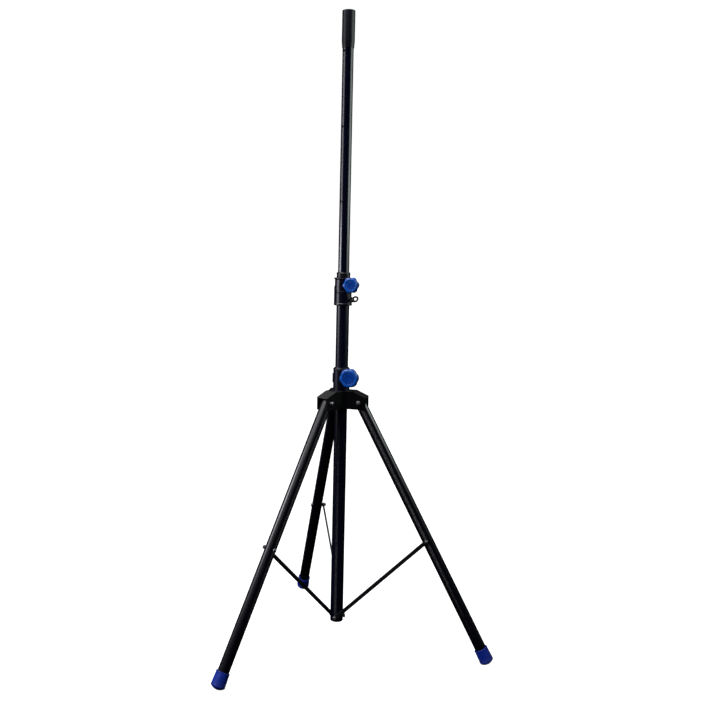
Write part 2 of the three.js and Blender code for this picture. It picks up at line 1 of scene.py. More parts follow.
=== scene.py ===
"""Tripod stand: a tube sliding in an upright mast, with a hub, three splayed legs and struts.

The mast stands on the Z axis and +Z is up. The rear leg points along +Y, and the camera looks
from the -Y side with +X on its right. Pieces are modelled in millimetres and made in metres;
the floor, lights and camera are in metres.
"""

import bpy
import bmesh
from math import acos, atan2, cos, dist, hypot, pi, radians, sin, sqrt, tan
import numpy as np
from mathutils import Matrix, Vector


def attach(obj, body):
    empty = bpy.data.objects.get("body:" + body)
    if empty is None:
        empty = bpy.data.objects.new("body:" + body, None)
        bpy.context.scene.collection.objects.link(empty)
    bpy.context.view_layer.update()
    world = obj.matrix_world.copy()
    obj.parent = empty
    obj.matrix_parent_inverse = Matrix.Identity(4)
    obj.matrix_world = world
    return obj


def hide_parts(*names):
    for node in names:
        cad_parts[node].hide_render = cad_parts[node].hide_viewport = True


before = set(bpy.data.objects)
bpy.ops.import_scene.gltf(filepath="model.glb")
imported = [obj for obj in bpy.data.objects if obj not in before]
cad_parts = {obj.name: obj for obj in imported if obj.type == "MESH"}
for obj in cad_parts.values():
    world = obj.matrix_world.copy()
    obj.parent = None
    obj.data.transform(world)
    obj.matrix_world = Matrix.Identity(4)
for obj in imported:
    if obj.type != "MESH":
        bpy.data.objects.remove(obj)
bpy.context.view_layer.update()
SCENE = bpy.context.scene
MM = 0.001
SEGMENTS = 96      # round the larger turned pieces

# ------------------------------------------------------------------ dimensions (mm, degrees)
# _R radius, _T thickness, _Z height, _Z0 and _Z1 lower and upper end, _AZ azimuth clockwise
# from +Y seen from above, _RHO distance out from the mast's axis
FIT = 0.3                           # gap left between neighbouring pieces
FLOOR_Z = -63.8
LEG_AZ = {"rear": 0.0, "right": 120.0, "left": 240.0}

MAST_R = 17.5
MAST_WALL = 1.5
MAST_Z0 = 2.6
MAST_TOP = 906.0

TUBE_R = 15.0
TUBE_WALL = 1.5
TUBE_Z0 = 640.0
TUBE_Z1 = 1652.0
HOLE_Z0 = 750.0
HOLE_PITCH = 200.0
HOLE_COUNT = 5
HOLE_R = 3.4
HOLE_AZ = 240.0

SPIGOT_R = 17.5
SPIGOT_Z0 = 1558.0
SPIGOT_Z1 = 1576.0                  # top of the sleeve's flare
SPIGOT_TOP = 1657.0

COLLAR_Z0 = 872.0
COLLAR_Z1 = 946.8
COLLAR_LIP_Z = 961.6
COLLAR_LIP_R = 18.6
SET_SCREW_Z = 889.0

CLAMP_AZ = 120.0                    # both clamps open this way
UPPER_RHO = 29.0                    # upper clamp bolt
UPPER_Z = 928.0
LOWER_RHO = 29.5                    # lower clamp bolt
LOWER_Z = 678.6
EAR_T = 12.0                        # from the slit's middle to an ear's outer face
SLIT = 3.0
BOLT_R = 4.0
BOLT_HOLE_R = BOLT_R + 0.35
LOOSE_R = BOLT_R + 0.4
WASHER_T = 1.6
KNOB_BASE = EAR_T + FIT + WASHER_T + FIT
SKIRT_Z0 = 23.7                     # start of the knob's lobed skirt, along the bolt

PIN_R = 2.25
PIN_RHO = 26.0
PIN_Z = 886.5
PULL_RHO = 38.0                     # centre of the pull ring
PULL_SIDE = 17.8
PULL_Z = 890.7
PULL_R = 6.7
PULL_HALF_X = PULL_R * 1.12
PULL_HALF_Z = PULL_R * 0.86
PULL_WIRE_R = 2.6
PULL_TILT = -28.0

LEG_PIVOT_RHO = 54.115
LEG_PIVOT_Z = 610.0
LEG_SPLAY = 28.3
LEG_R = 15.0
LEG_WALL = 1.2
LEG_LEN = 754.593
LEG_TOP = 9.6                       # tube end above the pivot

STRUT_AT = 405.593                  # strut bolt below the leg's pivot
STRUT_SIDE = 19.4
STRUT_T = 3.0
STRUT_W = 10.4
STRUT_HOLE_R = 3.4
STRUT_FOOT_Z = 11.0
STRUT_TOP_RHO = LEG_PIVOT_RHO + STRUT_AT * sin(radians(LEG_SPLAY))
STRUT_TOP_Z = LEG_PIVOT_Z - STRUT_AT * cos(radians(LEG_SPLAY))
STRUT_LEN = hypot(STRUT_TOP_RHO, STRUT_TOP_Z - STRUT_FOOT_Z)
STRUT_ANGLE = atan2(STRUT_TOP_RHO, STRUT_TOP_Z - STRUT_FOOT_Z)

HUB_Z0 = 592.5
HUB_ROOF_Z = 641.5
HUB_EAVE_Z = 628.4
HUB_ARM_R = 73.0
HUB_ARM_W = 38.0
HUB_CHANNEL_W = 31.4
HUB_BORE_R = 19.6
HUB_COLLAR_Z0 = 641.8
HUB_COLLAR_Z1 = 699.4

BOOT_R0 = 17.3                      # at the mouth
BOOT_R1 = 18.9                      # at the sole
BOOT_LEN = 35.5
BOOT_DOME = 8.0


# ------------------------------------------------------------------ frames
def arm_matrix(azimuth):
    """Local X points outward along an azimuth, Z is up."""
    return Matrix.Rotation(radians(90 - azimuth), 4, "Z")


def leg_matrix(side):
    """Origin at the leg's pivot, with the leg running down along local -Z."""
    return (arm_matrix(LEG_AZ[side]) @ Matrix.Translation((LEG_PIVOT_RHO, 0, LEG_PIVOT_Z))
            @ Matrix.Rotation(-radians(LEG_SPLAY), 4, "Y"))


def strut_matrix(side):
    """Origin at the strut's foot, with the strut running up along local Z."""
    return (arm_matrix(LEG_AZ[side]) @ Matrix.Translation((0, -STRUT_SIDE, STRUT_FOOT_Z))
            @ Matrix.Rotation(STRUT_ANGLE, 4, "Y"))


CLAMP = arm_matrix(CLAMP_AZ)                        # the knobs face local -Y
Z_TO_MINUS_Y = Matrix.Rotation(pi / 2, 4, "X")
Z_TO_PLUS_Y = Matrix.Rotation(-pi / 2, 4, "X")


# ------------------------------------------------------------------ shapes: (verts, faces)
def moved(shape, matrix):
    verts, faces = shape
    full = np.array(matrix, float)
    return np.asarray(verts, float) @ full[:3, :3].T + full[:3, 3], faces


def join(*shapes):
    verts, faces, base = [], [], 0
    for part_verts, part_faces in shapes:
        verts.append(np.asarray(part_verts, float))
        faces += [tuple(i + base for i in face) for face in part_faces]
        base += len(part_verts)
    return np.concatenate(verts), faces


def fillet(points, closed, steps):
    """Rounds the corners of a polyline of (radius, z, corner radius)."""
    out = []
    count = len(points)
    for i, point in enumerate(points):
        corner = point[2] if len(point) > 2 else 0.0
        if corner <= 0 or (not closed and i in (0, count - 1)):
            out.append(point[:2])
            continue
        before, here, after = (np.array(points[(i + k) % count][:2], float) for k in (-1, 0, 1))
        back, ahead = before - here, after - here
        back_len, ahead_len = np.linalg.norm(back), np.linalg.norm(ahead)
        back, ahead = back / back_len, ahead / ahead_len
        half = acos(max(-1, min(1, float(back @ ahead)))) / 2
        if half > pi / 2 - 1e-3:
            out.append(point[:2])
            continue
        cut = min(corner / tan(half), 0.49 * back_len, 0.49 * ahead_len)
        radius = cut * tan(half)
        centre = here + (back + ahead) / np.linalg.norm(back + ahead) * (radius / sin(half))
        start, end = here + back * cut - centre, here + ahead * cut - centre
        angle = atan2(start[1], start[0])
        sweep = (atan2(end[1], end[0]) - angle + pi) % (2 * pi) - pi
        for k in range(steps + 1):
            turn = angle + sweep * k / steps
            out.append((centre[0] + radius * cos(turn), centre[1] + radius * sin(turn)))
    return out


def lathe(points, closed=True, segments=SEGMENTS, steps=5, relief=None):
    """Turned about Z from (radius, z, corner radius). relief(angle, radius, z) shifts the radius."""
    profile = fillet(points, closed, steps)
    profile = [p for i, p in enumerate(profile) if i == 0 or dist(p, profile[i - 1]) > 1e-5]
    if closed and dist(profile[0], profile[-1]) < 1e-5:
        profile.pop()
    verts, rows = [], []
    for radius, z in profile:
        if radius < 1e-6:
            rows.append([len(verts)])
            verts.append((0.0, 0.0, z))
            continue
        rows.append(list(range(len(verts), len(verts) + segments)))
        for angle in np.arange(segments) * 2 * pi / segments:
            reach = radius + (relief(angle, radius, z) if relief else 0.0)
            verts.append((reach * cos(angle), reach * sin(angle), z))
    faces = []
    for low, high in list(zip(rows, rows[1:])) + ([(rows[-1], rows[0])] if closed else []):
        for i in range(segments):
            j = (i + 1) % segments
            if len(low) == 1:
                faces.append((low[0], high[i], high[j]))
            elif len(high) == 1:
                faces.append((low[i], high[0], low[j]))
            else:
                faces.append((low[i], high[i], high[j], low[j]))
    return np.array(verts), faces


def tube(radius, wall, bottom, top, rim):
    """Open tube with rounded outer rims and a row of vertices near each end."""
    return lathe([(radius - wall, bottom), (radius, bottom, rim), (radius, bottom + 4),
                  (radius, top - 4), (radius, top, rim), (radius - wall, top)])


def rod(radius, start, end, segments=48):
    """Plain round cutter between two points."""
    start, end = Vector(start), Vector(end)
    axis = end - start
    turn = axis.to_track_quat("Z", "Y").to_matrix().to_4x4()
    shape = lathe([(0, 0), (radius, 0), (radius, axis.length), (0, axis.length)],
                  closed=False, segments=segments)
    return moved(shape, Matrix.Translation(start) @ turn)


def spaced(radius, z_start, z_end, step):
    """Straight run of profile points, close enough to carry a thread or a hexagon."""
    count = max(2, int(abs(z_end - z_start) / step))
    return [(radius, z_start + (z_end - z_start) * i / count) for i in range(count + 1)]


def slope(radius, z, out, rise):
    """Straight chamfer in five steps."""
    return [(radius + out * k / 5, z + rise * k / 5) for k in range(6)]


def dome(radius, base, height, steps):
    """Elliptical cap, from its pole down to its rim."""
    angles = [k * pi / 2 / steps for k in range(steps + 1)]
    return [(radius * sin(angle), base + height * cos(angle)) for angle in angles]


def hexed(apothem, bottom, top, phase=0.0):
    """Relief that turns the rows between two heights into a chamfered hexagon."""
    def relief(angle, radius, z):
        if bottom - 1e-6 <= z <= top + 1e-6 and radius > apothem * 0.6:
            off = (angle - phase) % (pi / 3) - pi / 6
            return min(radius, apothem / cos(off)) - radius
        return 0.0
    return relief


def threaded(bottom, top, pitch, depth, other=None):
    """Relief that cuts a screw thread between two heights, with another relief elsewhere."""
    def relief(angle, radius, z):
        if bottom <= z <= top and radius > 1.5:
            wave = (z / pitch - angle / (2 * pi)) % 1.0
            fade = min(1, (z - bottom) / pitch, (top - z) / (0.4 * pitch))
            return -depth * fade * (0.5 + 0.5 * cos(2 * pi * wave)) ** 0.8
        return other(angle, radius, z) if other else 0.0
    return relief


# ------------------------------------------------------------------ signed distance modelling
def norm(x, y):
    return np.sqrt(x * x + y * y)


def union(one, two, blend):
    near = np.maximum(blend - np.abs(one - two), 0) / blend
    return np.minimum(one, two) - near * near * blend * 0.25


def intersect(one, two, blend):
    return -union(-one, -two, blend)


def carve(solid, tool, blend):
    return intersect(solid, -tool, blend)


def extrude(outline, offset, half, rounding):
    """Gives a 2D distance a depth of |offset| <= half, edges rounded."""
    across, along = outline + rounding, np.abs(offset) - half + rounding
    outside = norm(np.maximum(across, 0), np.maximum(along, 0))
    return np.minimum(np.maximum(across, along), 0) + outside - rounding


def cylinder(radial, z, radius, bottom, top, rounding):
    return extrude(radial - radius, z - (bottom + top) / 2, (top - bottom) / 2, rounding)


def polygon(x, z, points):
    """Signed distance to a simple polygon."""
    square = np.full(x.shape, 1e9)
    sign = np.ones(x.shape)
    for i, (start_x, start_z) in enumerate(points):
        end_x, end_z = points[i - 1]
        edge_x, edge_z = end_x - start_x, end_z - start_z
        off_x, off_z = x - start_x, z - start_z
        along = (off_x * edge_x + off_z * edge_z) / (edge_x * edge_x + edge_z * edge_z)
        along = np.clip(along, 0, 1)
        gap_x, gap_z = off_x - edge_x * along, off_z - edge_z * along
        square = np.minimum(square, gap_x * gap_x + gap_z * gap_z)
        above, below, beside = z >= start_z, z < end_z, edge_x * off_z > edge_z * off_x
        crossed = (above & below & beside) | (~above & ~below & ~beside)
        sign = np.where(crossed, -sign, sign)
    return sign * np.sqrt(square)


def sdf_mesh(field, low, high, step):
    """Surface net of field(x, y, z) < 0, its points then moved onto the surface."""
    axes = [np.arange(low[i] - 2 * step, high[i] + 2 * step, step) for i in range(3)]
    size = tuple(len(axis) for axis in axes)
    value = np.empty(size, np.float32)
    grid_y, grid_z = np.meshgrid(axes[1], axes[2], indexing="ij")
    for start in range(0, size[0], 16):             # in slabs, to save memory
        slab = axes[0][start:start + 16]
        full = (len(slab), *size[1:])
        value[start:start + 16] = field(np.broadcast_to(slab[:, None, None], full),
                                        np.broadcast_to(grid_y, full),
                                        np.broadcast_to(grid_z, full))
    inside = value < 0

    # one point in each cell the surface crosses, at the mean of its edge crossings
    corners = [(i, j, k) for i in (0, 1) for j in (0, 1) for k in (0, 1)]
    count = np.zeros([n - 1 for n in size], np.uint8)
    for i, j, k in corners:
        count += inside[i:size[0] - 1 + i, j:size[1] - 1 + j, k:size[2] - 1 + k]
    crossed = (count > 0) & (count < 8)
    cells = np.argwhere(crossed)
    index = np.full(crossed.shape, -1, np.int64)
    index[crossed] = np.arange(len(cells))
    total = np.zeros((len(cells), 3))
    hits = np.zeros(len(cells))
    cell_edges = [(p, q) for p in corners for q in corners
                  if sum(q) - sum(p) == 1 and all(q[k] >= p[k] for k in range(3))]
    for start, end in cell_edges:
        at_start = value[tuple((cells + start).T)].astype(float)
        at_end = value[tuple((cells + end).T)].astype(float)
        cross = (at_start < 0) != (at_end < 0)
        part = np.where(cross, at_start / np.where(cross, at_start - at_end, 1), 0)
        for k in range(3):
            place = cells[:, k] + start[k] + (end[k] - start[k]) * part
            total[:, k] += np.where(cross, place, 0)
        hits += cross
    points = total / hits[:, None]
    points = np.stack([axes[k][0] + points[:, k] * step for k in range(3)], 1)

    # one quad round each grid edge whose ends lie on opposite sides
    faces = []
    for axis in range(3):
        side, other = (axis + 1) % 3, (axis + 2) % 3
        before, after = np.delete(inside, -1, axis), np.delete(inside, 0, axis)
        found = np.argwhere(before != after)
        found = found[(found[:, side] > 0) & (found[:, other] > 0)
                      & (found[:, side] < size[side] - 1) & (found[:, other] < size[other] - 1)]
        solid_first = before[tuple(found.T)]
        quads = []
        for side_step, other_step in ((-1, -1), (0, -1), (0, 0), (-1, 0)):
            cell = found.copy()
            cell[:, side] += side_step
            cell[:, other] += other_step
            quads.append(index[tuple(cell.T)])
        quads = np.stack(quads, 1)
        quads[~solid_first] = quads[~solid_first][:, ::-1]
        faces.append(quads)

    tiny = 0.02
    for _ in range(4):
        x, y, z = points.T
        slopes = np.stack([field(x + tiny, y, z) - field(x - tiny, y, z),
                           field(x, y + tiny, z) - field(x, y - tiny, z),
                           field(x, y, z + tiny) - field(x, y, z - tiny)], 1) / (2 * tiny)
        steepness = np.maximum((slopes * slopes).sum(1), 0.15)
        shift = (field(x, y, z) / steepness)[:, None] * slopes
        length = np.linalg.norm(shift, axis=1, keepdims=True)
        points = points - shift * np.minimum(1, 0.5 * step / np.maximum(length, 1e-9))
    return points, np.concatenate(faces)


# ------------------------------------------------------------------ Blender meshes and objects
def new_mesh(name, verts, faces):
    mesh = bpy.data.meshes.new(name)
    mesh.from_pydata([tuple(p) for p in verts], [], [tuple(int(i) for i in f) for f in faces])
    return mesh


def face_outward(mesh, merge=0.0):
    work = bmesh.new()
    work.from_mesh(mesh)
    if merge:
        bmesh.ops.remove_doubles(work, verts=work.verts, dist=merge)
    bmesh.ops.recalc_face_normals(work, faces=work.faces)
    work.to_mesh(mesh)
    work.free()


def link_object(name, data):
    ob = bpy.data.objects.new(name, data)
    SCENE.collection.objects.link(ob)
    return ob


def evaluated(ob):
    """The object's shape with its modifiers applied."""
    depsgraph = bpy.context.evaluated_depsgraph_get()
    mesh = bpy.data.meshes.new_from_object(ob.evaluated_get(depsgraph), depsgraph=depsgraph)
    verts = np.array([v.co for v in mesh.vertices], float)
    return verts, [tuple(p.vertices) for p in mesh.polygons]


def drilled(shape, cutters):
    """Boolean cut of a shape."""
    pair = []
    for name, part in (("body", shape), ("cutter", join(*cutters))):
        mesh = new_mesh(name, *part)
        face_outward(mesh)
        pair.append(link_object(name, mesh))
    body, cutter = pair
    cut = body.modifiers.new("cut", "BOOLEAN")
    cut.operation, cut.solver, cut.object = "DIFFERENCE", "EXACT", cutter
    result = evaluated(body)
    for ob in pair:
        bpy.data.objects.remove(ob)
    return result


def round_normals(ob, matrix, radii):
    """Corner normals that follow the true cylinder on a tube's inner and outer skin."""
    mesh = ob.data
    inverse = np.array(matrix.inverted(), float)
    turn = np.array(matrix, float)[:3, :3]
    local = np.array([v.co for v in mesh.vertices], float) / MM
    local = local @ inverse[:3, :3].T + inverse[:3, 3]
    radial = np.hypot(local[:, 0], local[:, 1])
    normals = np.array([c.vector for c in mesh.corner_normals], float)
    for face in mesh.polygons:
        flat = turn.T @ np.array(face.normal, float)
        reach = radial[list(face.vertices)]
        if abs(flat[2]) > 0.05 or not any(np.all(np.abs(reach - r) < 0.06) for r in radii):
            continue
        for loop, vert in zip(face.loop_indices, face.vertices):
            outward = np.array([*local[vert, :2], 0.0]) / max(radial[vert], 1e-9)
            if outward @ flat < 0:
                outward = -outward
            if outward @ flat > 0.9:
                normals[loop] = turn @ outward
    mesh.normals_split_custom_set([tuple(n) for n in normals])


def make(node, shape, body, finish, at=Matrix.Identity(4), sharp=35.0):
    """Makes the skin that replaces a CAD node and rides a body. finish is a key of FINISHES."""
    name = f"{node}_skin"
    slot, material = FINISHES[finish]
    verts, faces = moved(shape, at)
    mesh = new_mesh(name, verts * MM, faces)
    mesh.validate(verbose=False)
    face_outward(mesh, merge=1e-7)
    mesh.shade_smooth()
    mesh.set_sharp_from_angle(angle=radians(sharp))
    ob = link_object(name, mesh)
    mesh.materials.append(material)
    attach(ob, body)
    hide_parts(node)
    return ob


# ------------------------------------------------------------------ shader graphs
def rgba(colour):
    return (*colour, 1) if isinstance(colour, tuple) else (colour, colour, colour, 1)


def scaled(colour, factor, lift=0.0):
    return tuple(min(1, c * factor + lift) for c in colour)


class Graph:
    """A shader node tree, with a short call for each kind of node."""

    def __init__(self, tree):
        self.tree = tree

    def add(self, kind, **settings):
        node = self.tree.nodes.new("ShaderNode" + kind)
        for key, value in settings.items():
            setattr(node, key, value)
        return node

    def feed(self, socket, value):
        """Links an output to a socket, or sets the socket's own value."""
        if isinstance(value, bpy.types.NodeSocket):
            self.tree.links.new(value, socket)
        else:
            socket.default_value = value

    def fill(self, node, **values):
        """Feeds sockets by name, with _ for a space."""
        for key, value in values.items():
            self.feed(node.inputs[key.replace("_", " ")], value)

    def coords(self, scale=(1, 1, 1)):
        source = self.add("TexCoord")
        mapping = self.add("Mapping")
        self.fill(mapping, Scale=scale, Vector=source.outputs["Object"])
        return mapping.outputs["Vector"]

    def noise(self, vector, scale, detail=3.0, rough=0.5):
        node = self.add("TexNoise")
        self.fill(node, Scale=scale, Detail=detail, Roughness=rough, Vector=vector)
        return node.outputs["Fac"]

    def ramp(self, factor, stops):
        """stops are (position, grey or colour)."""
        node = self.add("ValToRGB")
        elements = node.color_ramp.elements
        while len(elements) < len(stops):
            elements.new(0.5)
        for element, (position, colour) in zip(elements, stops):
            element.position = position
            element.color = rgba(colour)
        self.fill(node, Fac=factor)
        return node.outputs["Color"]

    def mask(self, factor, low, high):
        """0 below low, 1 above high."""
        return self.ramp(factor, [(low, 0.0), (high, 1.0)])

    def math(self, operation, *values, clamp=False):
        node = self.add("Math", operation=operation, use_clamp=clamp)
        for socket, value in zip(node.inputs, values):
            self.feed(socket, value)
        return node.outputs[0]

    def times(self, one, two, clamp=False):
        return self.math("MULTIPLY", one, two, clamp=clamp)

    def plus(self, one, two, clamp=False):
        return self.math("ADD", one, two, clamp=clamp)

    def mix(self, factor, one, two, mode="MIX"):
        node = self.add("Mix", data_type="RGBA", blend_type=mode)
        self.fill(node, Factor=factor)
        for i, colour in ((6, one), (7, two)):      # the colour sockets A and B
            self.feed(node.inputs[i], rgba(colour) if isinstance(colour, tuple) else colour)
        return node.outputs[2]

    def map_range(self, value, low, high, ends=(0.0, 1.0), **settings):
        node = self.add("MapRange", **settings)
        self.fill(node, From_Min=low, From_Max=high, To_Min=ends[0], To_Max=ends[1], Value=value)
        return node.outputs["Result"]

    def bump(self, height, strength, distance):
        node = self.add("Bump")
        self.fill(node, Strength=strength, Distance=distance, Height=height)
        return node.outputs["Normal"]

    def worn_edges(self, vector, convex, patch_scale, patches, wear):
        """Mask of convex edges broken into patches. convex and patches are (low, high)."""
        edge = self.mask(self.add("NewGeometry").outputs["Pointiness"], *convex)
        broken = self.mask(self.noise(vector, patch_scale, detail=4.0, rough=0.7), *patches)
        return self.times(self.times(edge, broken), wear, clamp=True)


def new_material(name):
    material = bpy.data.materials.new(name)
    material.use_nodes = True
    return material, Graph(material.node_tree), material.node_tree.nodes["Principled BSDF"]


# ------------------------------------------------------------------ materials
BARE_STEEL = (0.42, 0.42, 0.44)
PAINT_DUST = (0.10, 0.10, 0.11)
SCRATCH_GREY = (0.07, 0.07, 0.08)
BLUE_SCUFF = (0.10, 0.22, 0.55)
ROAD_DUST = (0.20, 0.20, 0.20)


def paint(name, base, rough, coat, coat_rough, peel=0.12, wear=0.5, scratch=0.0):
    """Paint on steel: orange peel, uneven sheen, rubbed edges and, where asked, slide marks."""
    material, graph, bsdf = new_material(name)
    coords = graph.coords()
    fine = graph.noise(coords, scale=950, detail=2.0)
    wide = graph.noise(coords, scale=24, detail=4.0, rough=0.6)
    speck = graph.noise(coords, scale=2600, detail=1.0)
    dirt = graph.noise(graph.coords((1, 1, 0.12)), scale=90, detail=5.0, rough=0.65)
    tone = graph.ramp(wide, [(0.3, scaled(base, 0.75)), (0.7, scaled(base, 1.35, lift=0.001))])
    dust = graph.mask(speck, low=0.66, high=0.74)
    tone = graph.mix(graph.times(dust, 0.10), tone, PAINT_DUST)
    edge = graph.worn_edges(coords, convex=(0.53, 0.60), patch_scale=420, patches=(0.42, 0.62),
                            wear=wear)
    colour = graph.mix(edge, tone, BARE_STEEL)
    sheen = graph.plus(rough - 0.06, graph.times(dirt, 0.14))
    if scratch > 0:
        # noise stretched along Z gives the lines, a wider noise picks where they show
        lines = graph.noise(graph.coords((1, 1, 0.012)), scale=1500, detail=3.0, rough=0.75)
        lines = graph.mask(lines, low=0.60, high=0.70)
        zones = graph.noise(graph.coords((1, 1, 0.5)), scale=14, detail=3.0)
        marks = graph.times(lines, graph.mask(zones, low=0.45, high=0.65))
        marks = graph.times(marks, scratch)
        colour = graph.mix(marks, colour, SCRATCH_GREY)
        sheen = graph.plus(sheen, graph.times(marks, 0.2), clamp=True)
    graph.fill(bsdf, Base_Color=colour, Roughness=sheen, Metallic=graph.times(edge, 0.8),
               Coat_Weight=coat, Coat_Roughness=coat_rough,
               Normal=graph.bump(fine, strength=peel, distance=0.0004))
    graph.fill(bsdf, Coat_Normal=graph.bump(fine, strength=peel * 0.6, distance=0.0004))
    return material


def plastic(name, base, rough, grain=0.25, grain_scale=1800, sss=0.0, coat=0.0, tint=0.25,
            scuff=(0.09, 0.09, 0.10), wear=0.35):
    """Moulded plastic: spark-eroded grain, faint flow marks, scuffed edges."""
    material, graph, bsdf = new_material(name)
    coords = graph.coords()
    pits = graph.noise(coords, scale=grain_scale, detail=3.0, rough=0.6)
    flow = graph.noise(graph.coords((1, 1, 0.35)), scale=55, detail=4.0, rough=0.6)
    tone = graph.ramp(flow, [(0.32, scaled(base, 1 - tint)), (0.68, scaled(base, 1 + tint))])
    edge = graph.worn_edges(coords, convex=(0.52, 0.60), patch_scale=500, patches=(0.45, 0.65),
                            wear=wear)
    graph.fill(bsdf, Base_Color=graph.mix(edge, tone, scuff))
    smudge = graph.noise(coords, scale=160, detail=4.0, rough=0.6)
    sheen = graph.plus(rough - 0.05, graph.times(smudge, 0.12))
    sheen = graph.plus(sheen, graph.times(edge, 0.15), clamp=True)
    graph.fill(bsdf, Roughness=sheen)
    if sss > 0:
        graph.fill(bsdf, Subsurface_Weight=sss, Subsurface_Radius=(0.3, 0.6, 1.0),
                   Subsurface_Scale=0.002)
    graph.fill(bsdf, Coat_Weight=coat, Coat_Roughness=0.12,
               Normal=graph.bump(pits, strength=grain, distance=0.0003))
    return material


def rubber(name, base):
    """Moulded rubber: soft bloom, fine pores, grey road dust towards the sole."""
    material, graph, bsdf = new_material(name)
    dust_top = FLOOR_Z * MM + 0.022
    dust_rise = 45.0                # per metre below dust_top
    coords = graph.coords()
    pores = graph.noise(coords, scale=1400, detail=4.0, rough=0.65)
    bloom = graph.noise(coords, scale=70, detail=5.0, rough=0.65)
    tone = graph.ramp(bloom, [(0.3, scaled(base, 0.72)), (0.72, scaled(base, 1.25, lift=0.004))])
    split = graph.add("SeparateXYZ")
    graph.feed(split.inputs[0], coords)
    low = graph.times(graph.math("SUBTRACT", dust_top, split.outputs["Z"]), dust_rise, clamp=True)
    grit = graph.mask(graph.noise(coords, scale=900, detail=5.0, rough=0.8), low=0.48, high=0.66)
    dust = graph.times(graph.times(low, grit), 0.55, clamp=True)
    graph.fill(bsdf, Base_Color=graph.mix(dust, tone, ROAD_DUST))
    graph.fill(bsdf, Roughness=graph.plus(0.34, graph.times(bloom, 0.22)),
               Specular_IOR_Level=0.36,
               Normal=graph.bump(pores, strength=0.35, distance=0.0004))
    return material


def plated(name, base, rough):
    """Plated or machined metal: fine marks, cloudy passivation, painted shade darkening the
    recesses.
    """
    material, graph, bsdf = new_material(name)
    coords = graph.coords()
    marks = graph.noise(graph.coords(), scale=2400, detail=4.0, rough=0.7)
    cloud = graph.noise(coords, scale=260, detail=4.0, rough=0.6)
    tone = graph.ramp(cloud, [(0.3, scaled(base, 0.65)), (0.7, base)])
    # painted shade: concave spots (low pointiness) get a darker colour, standing in for shade in the
    # recesses
    recess = graph.add("NewGeometry").outputs["Pointiness"]
    painted_recess_shade = graph.ramp(recess, [(0.42, 1.0), (0.50, 0.0)])
    colour = graph.mix(graph.times(painted_recess_shade, 0.6), tone, scaled(base, 0.25))
    graph.fill(bsdf, Base_Color=colour, Metallic=1.0,
               Roughness=graph.plus(rough - 0.08, graph.times(marks, 0.2)),
               Normal=graph.bump(marks, strength=0.12, distance=0.0002))
    return material


FINISHES = {
    "mast": ("mast_paint", paint(
        "mast_paint", (0.0005, 0.0009, 0.0080), rough=0.27, coat=0.45, coat_rough=0.20,
        scratch=0.14)),
    "leg": ("mast_paint", paint(
        "leg_paint", (0.0006, 0.0006, 0.0026), rough=0.24, coat=1.0, coat_rough=0.11,
        scratch=0.02)),
    "tube": ("tube_gloss", paint(
        "tube_enamel", (0.0004, 0.0007, 0.0080), rough=0.20, coat=1.0, coat_rough=0.08,
        peel=0.06, scratch=0.35)),
    "strut": ("mast_paint", paint(
        "strut_paint", (0.002, 0.002, 0.0035), rough=0.45, coat=0.2, coat_rough=0.3, wear=0.8)),
    "black": ("black_plastic", plastic(
        "black_moulding", (0.0014, 0.0015, 0.0090), rough=0.30, coat=0.35)),
    "nylon": ("liner_plastic", plastic(
        "liner_nylon", (0.003, 0.003, 0.004), rough=0.24, grain=0.12, grain_scale=900)),
    "blue": ("knob_blue", plastic(
        "knob_blue", (0.005, 0.082, 0.44), rough=0.21, grain=0.06, grain_scale=700, sss=0.12,
        coat=0.8, tint=0.18, scuff=BLUE_SCUFF, wear=0.5)),
    "blue_cap": ("knob_blue", plastic(
        "knob_cap_blue", (0.002, 0.042, 0.30), rough=0.26, grain=0.12, grain_scale=1100,
        sss=0.10, coat=0.2, tint=0.15, scuff=BLUE_SCUFF, wear=0.4)),
    "rubber": ("foot_rubber", rubber("foot_rubber", (0.002, 0.018, 0.25))),
    "hub": ("black_plastic", plastic(
        "hub_moulding", (0.0020, 0.0020, 0.0030), rough=0.30, grain=0.3, grain_scale=1500)),
    "spigot": ("mast_paint", paint(
        "spigot_paint", (0.002, 0.0022, 0.007), rough=0.36, coat=0.2, coat_rough=0.20,
        scratch=0.25)),
    "zinc": ("zinc_steel", plated("zinc_steel", (0.40, 0.41, 0.42), rough=0.30)),
    "wire": ("mast_paint", paint(
        "wire_paint", (0.006, 0.006, 0.008), rough=0.24, coat=1.0, coat_rough=0.12, wear=0.8)),
    "brass": ("brass", plated("brass_insert", (0.62, 0.43, 0.16), rough=0.32)),
}


# ------------------------------------------------------------------ mast
def strut_screw_holes(inner_y):
    """A hole under each strut's foot, from outside the mast in to inner_y."""
    hole = rod(STRUT_HOLE_R, (0, -20, STRUT_FOOT_Z), (0, inner_y, STRUT_FOOT_Z))
    return [moved(hole, arm_matrix(azimuth)) for azimuth in LEG_AZ.values()]


mast = drilled(tube(MAST_R, MAST_WALL, MAST_Z0, MAST_TOP, rim=0.45), strut_screw_holes(-10))
ob = make("mast_tube", mast, "mast", "mast")
round_normals(ob, Matrix.Identity(4), (MAST_R, MAST_R - MAST_WALL))

plug = lathe([
    (0, 0), (9, 0), (9.6, 0.7, 0.3), (12.4, 0.7, 0.3), (13, 0), (16.4, 0, 0.2),
    (17.5, 1.1, 0.5), (17.5, 2.3, 0.25), (15.7, 2.3), (15.7, 30, 0.5), (14.4, 32, 0.5), (0, 32),
], closed=False)
make("mast_end_plug", drilled(plug, strut_screw_holes(-7.6)), "mast", "black")


